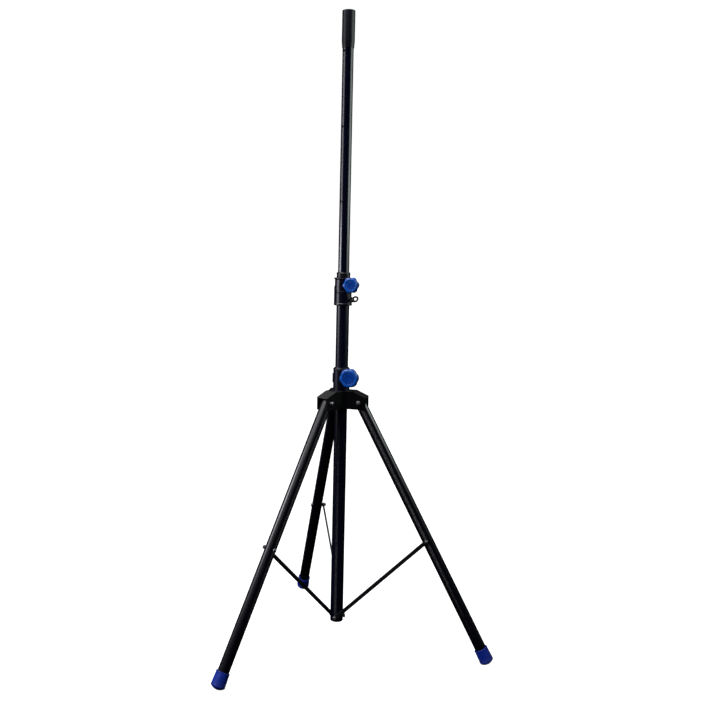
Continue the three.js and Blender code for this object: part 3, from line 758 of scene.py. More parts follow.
def cross_screw(x, y, z):
    """Pan head with a cross recess. Its axis is z, the head's top at 24.6."""
    radial = norm(x, y)
    ball = np.sqrt(x * x + y * y + (z - 13.4) ** 2) - 11.15
    head = intersect(cylinder(radial, z, 5.9, 21.3, 25.5, 0.5), ball, 0.5)
    solid = np.minimum(head, cylinder(radial, z, 3.0, 8.0, 22.0, 0.3))
    recess_floor = 24.9 - 2.2
    half_width = 0.62 + (z - recess_floor) * 0.10
    reach = 1.4 + (z - recess_floor) * 0.75
    along_x = np.maximum(np.abs(x) - reach, np.abs(y) - half_width)
    along_y = np.maximum(np.abs(y) - reach, np.abs(x) - half_width)
    recess = np.maximum(np.minimum(along_x, along_y), recess_floor - z)
    return carve(solid, recess, 0.25)


screw = sdf_mesh(cross_screw, (-6.2, -6.2, 7.8), (6.2, 6.2, 24.8), 0.27)
for side, azimuth in LEG_AZ.items():
    at = (arm_matrix(azimuth) @ Matrix.Translation((0, 0, STRUT_FOOT_Z)) @ Z_TO_MINUS_Y
          @ Matrix.Rotation(radians(17 + azimuth / 3), 4, "Z"))
    make(f"strut_screw_{side}", screw, "mast", "zinc", at, sharp=50)


# ------------------------------------------------------------------ collars (clamp frame)
def ears(x, y, z, rho, height, radius, half):
    """The lobed block on the +X side that the clamp bolt goes through."""
    lobe = norm(x - np.clip(x, 10, rho), z - height) - radius
    block = np.maximum(np.abs(x - 14) - 8, np.abs(z - height) - half)
    return extrude(union(lobe, block, 5.0), y, EAR_T, 1.3)


def clamp_cuts(solid, x, y, z, rho, height, slit_z):
    """Seats on the ears' faces, the slit from slit_z up, and the bolt's hole."""
    from_bolt = norm(x - rho, z - height)
    solid = carve(solid, extrude(from_bolt - 10, y + 20, 8, 0.0), 0.4)
    solid = carve(solid, extrude(from_bolt - 8, y - 20, 8, 0.0), 0.4)
    slit = np.maximum(np.maximum(np.abs(y) - SLIT / 2, 5 - x), slit_z - z)
    solid = carve(solid, slit, 0.6)
    return carve(solid, from_bolt - BOLT_HOLE_R, 0.4)


def upper_collar(x, y, z):
    radial = norm(x, y)
    solid = polygon(radial, z, [
        (-5, COLLAR_Z0 + 0.9), (23.6, COLLAR_Z0 + 0.9), (23.6, COLLAR_Z0 + 4.6),
        (22.1, COLLAR_Z0 + 6.3), (22.1, 942.2), (24.5, 944.6), (24.5, COLLAR_Z1 - 0.9),
        (-5, COLLAR_Z1 - 0.9)]) - 0.9
    solid = union(solid, ears(x, y, z, UPPER_RHO, UPPER_Z, 9.2, 15), 2.2)
    pin_boss = polygon(x, z, [
        (14, PIN_Z - 9), (24.8, PIN_Z - 5.4), (28.3, PIN_Z - 3.7), (29.8, PIN_Z),
        (28.3, PIN_Z + 3.6), (24.8, PIN_Z + 6), (14, PIN_Z + 9)]) - 1.0
    solid = union(solid, extrude(pin_boss, y, 7, 1.0), 2.2)
    rib = polygon(x, z, [(-23.4, COLLAR_Z0 + 4), (-17, COLLAR_Z0 + 4), (-17, 925), (-22, 925),
                         (-23.4, 920)]) - 0.9
    solid = union(solid, extrude(rib, y, 6.5, 0.9), 1.6)
    band = norm(np.maximum(np.abs(z - 908.5) - 1.0, 0), radial - 22.5) - 1.05
    solid = union(solid, band, 0.8)
    bore = np.where(z < MAST_TOP + FIT, radial - (MAST_R + FIT), radial - 17.3)
    solid = carve(solid, bore, 0.5)
    solid = clamp_cuts(solid, x, y, z, UPPER_RHO, UPPER_Z, slit_z=906.5)
    solid = carve(solid, norm(x - PIN_RHO, z - PIN_Z) - (PIN_R + 0.35), 0.4)
    return carve(solid, np.maximum(norm(x, z - SET_SCREW_Z) - 2.9, 12 - y), 0.4)


collar = sdf_mesh(upper_collar, (-25.8, -25.8, COLLAR_Z0 - 0.4), (39.4, 25.8, 947.2), 0.72)
make("upper_collar", collar, "mast", "black", CLAMP, sharp=48)

LIP_BASE = COLLAR_Z1 + FIT
make("upper_collar_liner", lathe([
    (15.4, 907), (17, 907), (17, LIP_BASE), (COLLAR_LIP_R, LIP_BASE, 0.3),
    (COLLAR_LIP_R, 952.2, 0.2), (18.2, 952.6, 0.2), (18.2, 953.4, 0.2),
    (COLLAR_LIP_R, 953.8, 0.2), (COLLAR_LIP_R, COLLAR_LIP_Z - 3.5, 1.2),
    (17.2, COLLAR_LIP_Z, 0.9), (15.4, COLLAR_LIP_Z, 0.4)]), "mast", "nylon")


def set_screw(x, y, z):
    """Slotted screw along z."""
    solid = cylinder(norm(x, y), z, 2.5, 18, 24.9, 0.45)
    return carve(solid, np.maximum(np.abs(y) - 0.5, 23.6 - z), 0.15)


make("upper_collar_screw", sdf_mesh(set_screw, (-2.6, -2.6, 17.9), (2.6, 2.6, 25), 0.22),
     "mast", "zinc", CLAMP @ Matrix.Translation((0, 0, SET_SCREW_Z)) @ Z_TO_PLUS_Y, sharp=50)


# ------------------------------------------------------------------ clamp bolts and knobs
# Here z runs along the bolt from the slit's middle out to the knob's face.
def knob_sdf(face, lobe_r, depth, face_r, phase):
    """Six-lobed knob. depth is how far the hollows between lobes cut in."""
    middle, half = (SKIRT_Z0 + face - 5) / 2, (face - 5 - SKIRT_Z0) / 2

    def field(x, y, z):
        radial = norm(x, y)
        neck = polygon(radial, z, [
            (-5, KNOB_BASE + 0.7), (8.0, KNOB_BASE + 0.7), (8.7, KNOB_BASE + 1.5),
            (8.7, SKIRT_Z0 - 1), (10.8, SKIRT_Z0 + 1), (10.8, SKIRT_Z0 + 4),
            (-5, SKIRT_Z0 + 4)]) - 0.7
        wave = 0.5 - 0.5 * np.cos(6 * (np.arctan2(y, x) - phase))
        lobes = lobe_r - depth * wave ** 1.15
        skirt = extrude((radial - lobes) * 0.985, z - middle, half, 2.6)
        crown = extrude(radial - (face_r + 0.6), z - (face - 4.5), 4.5, 1.9)
        solid = union(union(neck, skirt, 1.6), crown, 2.4)
        # dished face: a rolled rim, then a shallow bowl
        bowl = norm(radial, z - (face + 58)) - 59.9
        solid = carve(solid, np.maximum(bowl, radial - (face_r - 2.6)), 1.2)
        # sockets for the insert and the cap
        solid = carve(solid, np.maximum(radial - 6.8, z - (face - 8 + 0.3)), 0.5)
        solid = carve(solid, np.maximum(radial - (face_r - 6), face - 4 - z), 0.35)
        # fine groove between skirt and crown
        groove = norm(radial - (lobes + 0.25), z - (face - 7.2)) - 0.55
        return carve(solid, groove, 0.3)
    return field


def cap_sdf(face, face_r):
    def field(x, y, z):
        radial = norm(x, y)
        solid = cylinder(radial, z, face_r - 6.3, face - 3.7, face - 1.0, 0.55)
        solid = carve(solid, norm(radial, z - (face + 40)) - 41.75, 0.8)
        return carve(solid, norm(radial - (face_r - 8.4), z - (face - 1.2)) - 0.45, 0.2)
    return field


def clamp_bolt(face):
    """Hex head bolt, threaded towards the knob."""
    seat, head = -(EAR_T + FIT), -(EAR_T + 5.5)
    profile = [(0, head), (5.6, head, 0.2)] + slope(5.9, head + 0.12, 1.5, 0.75)
    profile += [(7.4, seat - 0.55), (7.2, seat - 0.4), (6.5, seat - 0.35, 0.1),
                (6.4, seat, 0.1), (BOLT_R, seat, 0.2), (BOLT_R, 14.6)]
    profile += spaced(BOLT_R, 14.8, face - 10.2, 0.24)
    profile += [(BOLT_R, face - 9.8, 0.2), (3.2, face - 9, 0.2), (0, face - 9)]
    hexagon = hexed(6.3, head, seat - 0.4, radians(12))
    return lathe(profile, closed=False, segments=48, steps=3,
                 relief=threaded(14.9, face - 10, 1.25, 0.42, hexagon))


def washer():
    bottom, top = EAR_T + FIT, EAR_T + FIT + WASHER_T
    return lathe([(LOOSE_R, bottom, 0.2), (9, bottom, 0.45), (9, top, 0.25),
                  (LOOSE_R, top, 0.2)], segments=72, steps=4)


def knob_insert(face):
    """Hexagonal sleeve inside the knob."""
    bottom, top = KNOB_BASE + 0.2, face - 8
    profile = [(LOOSE_R, bottom, 0.2), (5.2, bottom), (5.6, bottom + 0.2), (6.6, bottom + 1.0)]
    profile += spaced(6.6, bottom + 1.2, top - 1.2, 1.2)
    profile += [(6.6, top - 1.0), (5.6, top - 0.2), (5.2, top), (LOOSE_R, top, 0.2)]
    return lathe(profile, segments=48, relief=hexed(5.7, bottom, top))


def clamp_set(knob, bolt, bolt_body, rho, height, face, lobe_r, depth, face_r, phase):
    at = CLAMP @ Matrix.Translation((rho, 0, height)) @ Z_TO_MINUS_Y
    washer_node = knob.replace("knob", "clamp_washer")
    make(bolt, clamp_bolt(face), bolt_body, "zinc", at)
    make(washer_node, washer(), washer_node, "zinc", at)
    extent = lobe_r + 0.5
    shape = sdf_mesh(knob_sdf(face, lobe_r, depth, face_r, radians(phase)),
                     (-extent, -extent, 14), (extent, extent, face + 0.3), 0.52)
    make(knob, shape, knob, "blue", at, sharp=55)
    shape = sdf_mesh(cap_sdf(face, face_r), (-face_r, -face_r, face - 4),
                     (face_r, face_r, face - 0.6), 0.42)
    make(f"{knob}_cap", shape, knob, "blue_cap", at, sharp=55)
    make(f"{knob}_insert", knob_insert(face), knob, "brass", at)


clamp_set("upper_knob", "upper_clamp_bolt", "mast", UPPER_RHO, UPPER_Z,
          face=38.0, lobe_r=22.4, depth=2.6, face_r=17.5, phase=5)
clamp_set("lower_knob", "hub_clamp_bolt", "hub", LOWER_RHO, LOWER_Z,
          face=40.0, lobe_r=26.4, depth=1.9, face_r=22.0, phase=8)


# ------------------------------------------------------------------ safety pin (clamp frame)
def safety_pin(x, y, z):
    """Pin, head and the flat eye that carries the pull ring."""
    out = -y
    radial = norm(x - PIN_RHO, z - PIN_Z)
    shaft = polygon(radial, out, [(-5, -12.8), (1.1, -12.8), (PIN_R - 0.2, -11.5),
                                  (PIN_R - 0.2, 11), (-5, 11)]) - 0.2
    head = polygon(radial, out, [(-5, 10.4), (4.0, 10.4), (4.0, 12.7), (2.9, 14.0),
                                 (-5, 14.0)]) - 0.4
    # the eye is a flat capsule, tilted with the ring
    cos_tilt, sin_tilt = cos(radians(PULL_TILT)), sin(radians(PULL_TILT))
    along = cos_tilt * (x - PULL_RHO) - sin_tilt * (z - PULL_Z)
    across = sin_tilt * (x - PULL_RHO) + cos_tilt * (z - PULL_Z)
    root, root_out = -11.5, 13.6
    run, rise = -PULL_HALF_X - root, PULL_SIDE - root_out
    part = ((along - root) * run + (out - root_out) * rise) / (run ** 2 + rise ** 2)
    part = np.clip(part, 0, 1)
    capsule = norm(along - root - part * run, out - root_out - part * rise) - 4.9
    eye = extrude(capsule, across, 1.2, 0.5)
    solid = union(union(shaft, head, 0.4), eye, 1.0)
    return carve(solid, norm(along + PULL_HALF_X - 0.1, out - PULL_SIDE) - 3.25, 0.4)


pin = sdf_mesh(safety_pin, (PIN_RHO - 5, -23.2, PIN_Z - 6.8), (PULL_RHO - 1.5, 13.4, PIN_Z + 6.8),
               0.34)
make("safety_pin", pin, "safety_pin", "wire", CLAMP, sharp=50)


def ring_mesh():
    """Oval pull ring of round wire, slightly uneven as bent wire is."""
    around, section = 96, 24
    verts, faces = [], []
    for i in range(around):
        angle = 2 * pi * i / around
        tangent_x, tangent_z = -PULL_HALF_X * sin(angle), PULL_HALF_Z * cos(angle)
        length = hypot(tangent_x, tangent_z)
        normal_x, normal_z = tangent_z / length, -tangent_x / length
        wire = PULL_WIRE_R - 0.08 + 0.05 * sin(3 * angle + 0.7)
        for j in range(section):
            turn = 2 * pi * j / section
            verts.append((PULL_HALF_X * cos(angle) + normal_x * wire * cos(turn),
                          wire * sin(turn),
                          PULL_HALF_Z * sin(angle) + normal_z * wire * cos(turn)))
            here, ahead, j_next = i * section, (i + 1) % around * section, (j + 1) % section
            faces.append((here + j, ahead + j, ahead + j_next, here + j_next))
    return np.array(verts), faces


at = (CLAMP @ Matrix.Translation((PULL_RHO, -PULL_SIDE, PULL_Z))
      @ Matrix.Rotation(radians(PULL_TILT), 4, "Y"))
make("safety_pin_ring", ring_mesh(), "safety_pin", "wire", at)

# ------------------------------------------------------------------ upper tube and spigot
holes = []
for i in range(HOLE_COUNT):
    hole_z = HOLE_Z0 + i * HOLE_PITCH
    hole = rod(HOLE_R, (-30, 0, hole_z), (30, 0, hole_z), segments=40)
    holes.append(moved(hole, arm_matrix(HOLE_AZ)))
ob = make("upper_tube", drilled(tube(TUBE_R, TUBE_WALL, TUBE_Z0, TUBE_Z1, rim=0.4), holes),
          "upper_tube", "tube")
round_normals(ob, Matrix.Identity(4), (TUBE_R, TUBE_R - TUBE_WALL))

inner = TUBE_R + FIT
make("spigot_sleeve", lathe([
    (inner, SPIGOT_Z0, 0.1), (inner + 0.7, SPIGOT_Z0, 0.35), (inner + 1.0, SPIGOT_Z0 + 3.0, 2.5),
    (SPIGOT_R, SPIGOT_Z1, 5.0), (SPIGOT_R, SPIGOT_Z1 + 6), (SPIGOT_R, SPIGOT_TOP - 9),
    (SPIGOT_R, SPIGOT_TOP - 3.4, 0.4), (inner, SPIGOT_TOP - 3.4),
], steps=8), "upper_tube", "spigot", sharp=30)

plug_r = TUBE_R - TUBE_WALL - FIT
make("spigot_cap", lathe([
    (0, TUBE_Z1 - 12), (plug_r, TUBE_Z1 - 12, 0.8), (plug_r, TUBE_Z1 + FIT), (15, TUBE_Z1 + FIT),
    (15, SPIGOT_TOP - 3.1), (SPIGOT_R, SPIGOT_TOP - 3.1, 0.25), (SPIGOT_R, SPIGOT_TOP - 1.2, 0.5),
    (SPIGOT_R - 1.2, SPIGOT_TOP, 0.5), (11.4, SPIGOT_TOP, 0.3), (11.0, SPIGOT_TOP - 0.5, 0.2),
    (10.0, SPIGOT_TOP - 0.5, 0.2), (9.6, SPIGOT_TOP, 0.3), (0, SPIGOT_TOP),
], closed=False), "upper_tube", "black")

make("tube_guide", lathe([
    (0, TUBE_Z0 - 5), (15.7, TUBE_Z0 - 5, 0.8), (15.7, TUBE_Z0 - FIT, 0.4), (13.1, TUBE_Z0 - FIT),
    (13.1, TUBE_Z0 + 14, 0.8), (11.5, TUBE_Z0 + 16, 0.8), (0, TUBE_Z0 + 16),
], closed=False, segments=72), "tube_guide", "nylon")


# ------------------------------------------------------------------ hub
def hub_housing(x, y, z):
    """Round body with three roofed arms, each hollowed by a channel open below and outward."""
    radial = norm(x, y)
    solid = cylinder(radial, z, 26, HUB_Z0, HUB_ROOF_Z, 0.9)
    roof = [(-6, HUB_Z0 + 1.1), (HUB_ARM_R - 1.1, HUB_Z0 + 1.1),
            (HUB_ARM_R - 1.1, HUB_EAVE_Z - 1.7), (39.8, HUB_ROOF_Z - 1.1),
            (-6, HUB_ROOF_Z - 1.1)]
    roof_t = 3.2
    channel = [(33.2, HUB_Z0 - 6), (HUB_ARM_R + 6, HUB_Z0 - 6),
               (HUB_ARM_R + 6, HUB_EAVE_Z - roof_t - 3.6), (39.4, HUB_ROOF_Z - roof_t),
               (33.2, HUB_ROOF_Z - roof_t)]
    arms = []
    for azimuth in LEG_AZ.values():
        cosine, sine = cos(radians(90 - azimuth)), sin(radians(90 - azimuth))
        arms.append((x * cosine + y * sine, -x * sine + y * cosine))
    for out, across in arms:
        arm = extrude(polygon(out, z, roof) - 1.1, across, HUB_ARM_W / 2, 1.3)
        solid = union(solid, arm, 3.0)
    for out, across in arms:
        hollow = extrude(polygon(out, z, channel), across, HUB_CHANNEL_W / 2, 0.6)
        solid = carve(solid, hollow, 0.8)
        hole = norm(out - LEG_PIVOT_RHO, z - LEG_PIVOT_Z) - BOLT_HOLE_R
        solid = carve(solid, np.where(out > 0, hole, 99.0), 0.4)
    return intersect(solid, HUB_BORE_R - radial, 0.6)


housing = sdf_mesh(hub_housing, (-72, -56, HUB_Z0 - 0.3), (72, 73.4, HUB_ROOF_Z + 0.3), 0.85)
make("hub_housing", housing, "hub", "hub", sharp=48)


def hub_collar(x, y, z):
    radial = norm(x, y)
    solid = polygon(radial, z, [
        (-5, HUB_COLLAR_Z0 + 0.9), (21.5, HUB_COLLAR_Z0 + 0.9), (21.5, HUB_COLLAR_Z1 - 2.9),
        (22.5, HUB_COLLAR_Z1 - 1.7), (22.5, HUB_COLLAR_Z1 - 0.8),
        (-5, HUB_COLLAR_Z1 - 0.8)]) - 0.9
    solid = union(solid, ears(x, y, z, LOWER_RHO, LOWER_Z, 10, 17), 2.2)
    rib = polygon(x, z, [(-23.3, 663), (-17, 660), (-17, 689), (-23.3, 686)]) - 0.9
    solid = union(solid, extrude(rib, y, 6, 0.9), 1.6)
    solid = intersect(solid, HUB_BORE_R - radial, 0.5)
    return clamp_cuts(solid, x, y, z, LOWER_RHO, LOWER_Z, slit_z=HUB_COLLAR_Z0 + 8)


collar = sdf_mesh(hub_collar, (-24.6, -24, HUB_COLLAR_Z0 - 0.3), (40, 24, HUB_COLLAR_Z1 + 0.3),
                  0.72)
make("hub_collar", collar, "hub", "black", CLAMP, sharp=48)

liner_r = HUB_BORE_R - FIT
make("hub_liner", lathe([
    (MAST_R + FIT, HUB_Z0 + 1, 0.3), (liner_r, HUB_Z0 + 1, 0.3), (liner_r, HUB_COLLAR_Z1 + FIT),
    (21.2, HUB_COLLAR_Z1 + FIT, 0.3), (21.2, HUB_COLLAR_Z1 + 2.6, 0.7),
    (20, HUB_COLLAR_Z1 + 3.8, 0.7), (MAST_R + FIT, HUB_COLLAR_Z1 + 3.8, 0.4)]), "hub", "nylon")

# pivot bolts lie across the arms, head on the arm's +Y side and nut on its -Y side
seat = HUB_ARM_W / 2 + FIT
profile = dome(7.0, seat + 0.9, 3.1, steps=10)
profile += [(7.0, seat + 0.3, 0.2), (6.7, seat, 0.1), (4.0, seat, 0.2), (4.0, -seat - 0.5)]
profile += spaced(4.0, -seat - 0.8, -seat - 6.8, 0.22)
profile += [(3.9, -seat - 7.0, 0.1), (3.2, -seat - 7.6, 0.2), (0, -seat - 7.6)]
pivot_bolt = lathe(profile, closed=False, segments=48, steps=3,
                   relief=threaded(-seat - 7.0, -seat - 0.6, 1.25, 0.42))
profile = [(4.3, -seat - 6, 0.2), (5.4, -seat - 6)] + slope(5.8, -seat - 5.9, 1.7, 0.85)
profile += [(7.5, -seat - 4), (7.5, -seat - 2)] + slope(7.5, -seat - 0.95, -1.7, 0.85)
profile += [(5.4, -seat), (4.3, -seat, 0.2)]
pivot_nut = lathe(profile, segments=72, steps=3,
                  relief=hexed(6.42, -seat - 6, -seat, radians(9)))
for side, azimuth in LEG_AZ.items():
    at = (arm_matrix(azimuth) @ Matrix.Translation((LEG_PIVOT_RHO, 0, LEG_PIVOT_Z))
          @ Z_TO_PLUS_Y @ Matrix.Rotation(radians(azimuth * 0.37), 4, "Z"))
    make(f"leg_pivot_bolt_{side}", pivot_bolt, "hub", "zinc", at)
    make(f"leg_pivot_nut_{side}", pivot_nut, "hub", "zinc", at)

# ------------------------------------------------------------------ leg pieces (leg frame)
pivot_hole = rod(LOOSE_R, (0, -30, 0), (0, 30, 0))
strut_hole = rod(STRUT_HOLE_R, (0, -30, -STRUT_AT), (0, 30, -STRUT_AT))
leg_tube = drilled(tube(LEG_R, LEG_WALL, -(LEG_LEN - 4), LEG_TOP, rim=0.35),
                   [pivot_hole, strut_hole])
plug_r = LEG_R - LEG_WALL - FIT
leg_plug = drilled(lathe([
    (0, -22), (plug_r - 1, -22, 0.4), (plug_r, -20, 0.5), (plug_r, LEG_TOP + FIT),
    (LEG_R - 0.3, LEG_TOP + FIT, 0.2), (LEG_R - 1.2, LEG_TOP + 1.6, 0.6),
    (9, LEG_TOP + 1.6, 0.3), (8.4, LEG_TOP + 1.0, 0.3), (0, LEG_TOP + 1.0),
], closed=False, segments=72), [pivot_hole])

HEIGHT_ROW = np.array(leg_matrix("rear"), float)[2]     # leg coordinates to height
SOLE_R = (BOOT_R1 ** 2 + BOOT_DOME ** 2) / (2 * BOOT_DOME)
SOLE_Z = -(LEG_LEN + BOOT_DOME - SOLE_R)                # centre of the sole's sphere


def foot(x, y, z):
    """Tapered boot with a domed sole, cut flat at the floor."""
    radial = norm(x, y)
    down = -z
    mouth = LEG_LEN - BOOT_LEN
    wall = BOOT_R0 + (BOOT_R1 - BOOT_R0) * np.clip((down - mouth) / BOOT_LEN, 0, 1)
    ball = np.sqrt(x * x + y * y + (z - SOLE_Z) ** 2) - SOLE_R
    solid = intersect((radial - wall) * 0.999, ball, 1.6)
    solid = intersect(solid, mouth - down, 0.9)
    # rolled lip at the mouth, then moulded grooves
    solid = union(solid, norm(radial - (BOOT_R0 - 0.35), down - (mouth + 1.6)) - 1.35, 0.7)
    for k in range(3):
        groove = norm(radial - (wall + 0.25), down - (LEG_LEN - 11.5 + 3.6 * k)) - 0.85
        solid = carve(solid, groove, 0.5)
    height = HEIGHT_ROW[0] * x + HEIGHT_ROW[1] * y + HEIGHT_ROW[2] * z + HEIGHT_ROW[3]
    solid = intersect(solid, FLOOR_Z - height, 0.9)
    return carve(solid, np.maximum(radial - (LEG_R + FIT), down - (LEG_LEN - 3.6)), 0.4)


boot = sdf_mesh(foot, (-19.6, -19.6, -(LEG_LEN + BOOT_DOME + 0.4)),
                (19.6, 19.6, -(LEG_LEN - BOOT_LEN - 0.4)), 0.62)

near_strut = STRUT_SIDE - STRUT_T / 2 - 0.35
strut_bolt = lathe(dome(5.4, 16.4, 2.6, steps=8) + [
    (5.4, 15.8, 0.2), (5.1, 15.4, 0.1), (3, 15.4, 0.2), (3, -near_strut + 0.4, 0.2),
    (2.6, -near_strut, 0.1), (0, -near_strut)], closed=False, segments=48)
spacer_end = -(near_strut - 0.05)
strut_spacer = lathe([(3.35, -15.2, 0.2), (6, -15.2, 0.3), (5.7, -16.3, 0.6),
                      (6, spacer_end, 0.3), (3.35, spacer_end, 0.2)], segments=48)


# ------------------------------------------------------------------ struts (strut frame)
def strip_mesh():
    """Flat strip with two bored round eyes, quads all over, edges rolled by a bevel."""
    radius, eye_reach = STRUT_W / 2, 9.0
    corner = atan2(radius, eye_reach)
    # rays out of an eye's centre; 0 points along the strip
    inner = [-corner + 2 * corner * k / 6 for k in range(7)]
    flank = [corner + (pi / 2 - corner) * k / 5 for k in range(1, 6)]
    outer = [pi / 2 + pi * k / 20 for k in range(1, 21)]
    rays = inner + flank + outer + [-angle for angle in reversed(flank[:-1])]
    verts, faces, ends = [], [], []
    for sign, eye_z in ((1, 0.0), (-1, STRUT_LEN)):
        base = len(verts)
        for angle in rays:
            cosine, sine = cos(angle), sin(angle)
            verts.append((STRUT_HOLE_R * sine, eye_z + sign * STRUT_HOLE_R * cosine))
            if abs(angle) <= corner + 1e-9:
                rim = (eye_reach * tan(angle), eye_reach)
            elif abs(angle) < pi / 2 - 1e-9:
                rim = (radius if sine > 0 else -radius, radius / abs(tan(angle)))
            else:
                rim = (radius * sine, radius * cosine)
            verts.append((rim[0], eye_z + sign * rim[1]))
        for i in range(len(rays)):
            here, ahead = base + 2 * i, base + 2 * ((i + 1) % len(rays))
            faces.append((here, here + 1, ahead + 1, ahead))
        ends.append([base + 2 * k + 1 for k in range(7)])
    rows = [ends[0]]
    for i in range(1, 24):
        z = eye_reach + (STRUT_LEN - 2 * eye_reach) * i / 24
        rows.append(list(range(len(verts), len(verts) + 7)))
        verts += [(verts[k][0], z) for k in ends[0]]
    rows.append(ends[1])
    for low, high in zip(rows, rows[1:]):
        faces += [(low[k], low[k + 1], high[k + 1], high[k]) for k in range(6)]

    mesh = new_mesh("strip", [(x, -STRUT_T / 2, z) for x, z in verts], faces)
    face_outward(mesh, merge=1e-4)
    work = bmesh.new()
    work.from_mesh(mesh)
    grown = bmesh.ops.extrude_face_region(work, geom=list(work.faces))["geom"]
    bmesh.ops.translate(work, verts=[e for e in grown if isinstance(e, bmesh.types.BMVert)],
                        vec=(0, STRUT_T, 0))
    bmesh.ops.recalc_face_normals(work, faces=work.faces)
    work.to_mesh(mesh)
    work.free()
    strip = link_object("strip", mesh)
    bevel = strip.modifiers.new("edge", "BEVEL")
    bevel.width, bevel.segments = 0.5, 3
    bevel.limit_method, bevel.angle_limit = "ANGLE", radians(40)
    result = evaluated(strip)
    bpy.data.objects.remove(strip)
    return result


strut_strip = strip_mesh()

# threaded stub and its nut, both standing on the strut's face
face = STRUT_T / 2
profile = [(0, face + 6.6), (2.3, face + 6.6, 0.2), (2.95, face + 6.0, 0.1)]
profile += spaced(3.0, face + 5.9, face + 0.5, 0.2)
profile += [(3.0, 0.0), (3.0, -face + 0.1, 0.2), (0, -face + 0.1)]
stub = lathe(profile, closed=False, segments=40, steps=3,
             relief=threaded(face + 0.4, face + 6.0, 1.0, 0.34))
profile = [(3.05, face + 5.2, 0.1), (4.4, face + 5.2)] + slope(4.7, face + 5.12, 1.2, -0.65)
profile += [(5.9, face + 3.6), (5.9, face + 2)] + slope(5.9, face + 0.98, -1.2, -0.62)
profile += [(4.4, face + 0.3), (3.05, face + 0.3, 0.1)]
nut = lathe(profile, segments=72, steps=3,
            relief=hexed(5.02, face + 0.3, face + 5.2, radians(20)))
strut_nut = join(stub, nut)

for side in LEG_AZ:
    leg, strut = f"leg_{side}", f"strut_{side}"
    at = leg_matrix(side)
    ob = make(f"leg_tube_{side}", leg_tube, leg, "leg", at)
    round_normals(ob, at, (LEG_R, LEG_R - LEG_WALL))
    make(f"leg_plug_{side}", leg_plug, leg, "nylon", at)
    make(f"foot_{side}", boot, leg, "rubber", at, sharp=60)
    across = at @ Matrix.Translation((0, 0, -STRUT_AT)) @ Z_TO_PLUS_Y
    make(f"strut_bolt_{side}", strut_bolt, leg, "zinc", across)
    make(f"strut_spacer_{side}", strut_spacer, leg, "nylon", across)
    at = strut_matrix(side)
    make(strut, strut_strip, strut, "strut", at)
    top = at @ Matrix.Translation((0, 0, STRUT_LEN)) @ Z_TO_MINUS_Y
    make(f"strut_nut_{side}", strut_nut, strut, "zinc", top)

# ------------------------------------------------------------------ stage (metres)
VIEW_AZ = radians(15.452665)        # turn between the stage's axes and the stand's


def seen(x, y, z):
    """Stage axes to the stand's: x to the camera's right, y away from it."""
    return Vector((x * cos(VIEW_AZ) + y * sin(VIEW_AZ), -x * sin(VIEW_AZ) + y * cos(VIEW_AZ), z))


def stage_floor():
    count = 96
    rings = [0.0, 0.3, 0.6, 1.0, 1.6, 2.6, 4.5, 8.0, 15.0, 30.0]    # radii
    work = bmesh.new()
    inner = None
    for radius in rings:
        angles = [2 * pi * k / count for k in range(count if radius else 1)]
        row = [work.verts.new((radius * cos(a), radius * sin(a), FLOOR_Z * MM)) for a in angles]
        if inner:
            for i in range(count):
                j = (i + 1) % count
                hub = (inner[0],) if len(inner) == 1 else (inner[i],)
                work.faces.new(hub + (row[i], row[j]) + (() if len(inner) == 1 else (inner[j],)))
        inner = row
    mesh = bpy.data.meshes.new("studio_floor")
    work.to_mesh(mesh)
    work.free()
    ob = link_object("studio_floor", mesh)
    material, graph, bsdf = new_material("studio_floor_paper")
    coords = graph.coords()
    fibre = graph.noise(coords, scale=600, detail=4.0, rough=0.6)
    clouds = graph.noise(coords, scale=3, detail=3.0)
    graph.fill(bsdf, Base_Color=graph.ramp(clouds, [(0.3, 0.50), (0.7, 0.53)]),
               Roughness=0.9, Specular_IOR_Level=0.1,
               Emission_Color=(1, 1, 1, 1), Emission_Strength=0.97,
               Normal=graph.bump(fibre, strength=0.05, distance=0.0003))
    mesh.materials.append(material)
    ob.visible_glossy = False
    ob.visible_diffuse = False


stage_floor()

# ------------------------------------------------------------------ world
# (elevation in degrees, level) of the surround, as gloss and as scattered light meet it
SKY_GLOSS = [(-20, 0.002), (24, 0.004), (38, 0.45), (60, 0.6)]
SKY_SOFT = [(-20, 0.01), (30, 0.03), (60, 0.30)]
# bright patch overhead, in gloss only; windows in degrees: rise from, to, fall from, to
PATCH_AZIMUTH = (-140, -110, -25, 0)        # 0 faces the camera, + is the camera's right
PATCH_ELEVATION = (34, 46, 66, 78)
PATCH_COLOUR = (0.95, 0.98, 1.0)
PATCH_LEVEL = 3.8
BACKDROP_LEVEL = 1.02                       # white as the camera sees it


def window(graph, value, span):
    """Rises over span[0:2] and falls over span[2:4]."""
    rise, fall = (graph.map_range(value, radians(low), radians(high), ends,
                                  interpolation_type="SMOOTHSTEP")
                  for low, high, ends in ((*span[:2], (0.0, 1.0)), (*span[2:], (1.0, 0.0))))
    return graph.times(rise, fall)


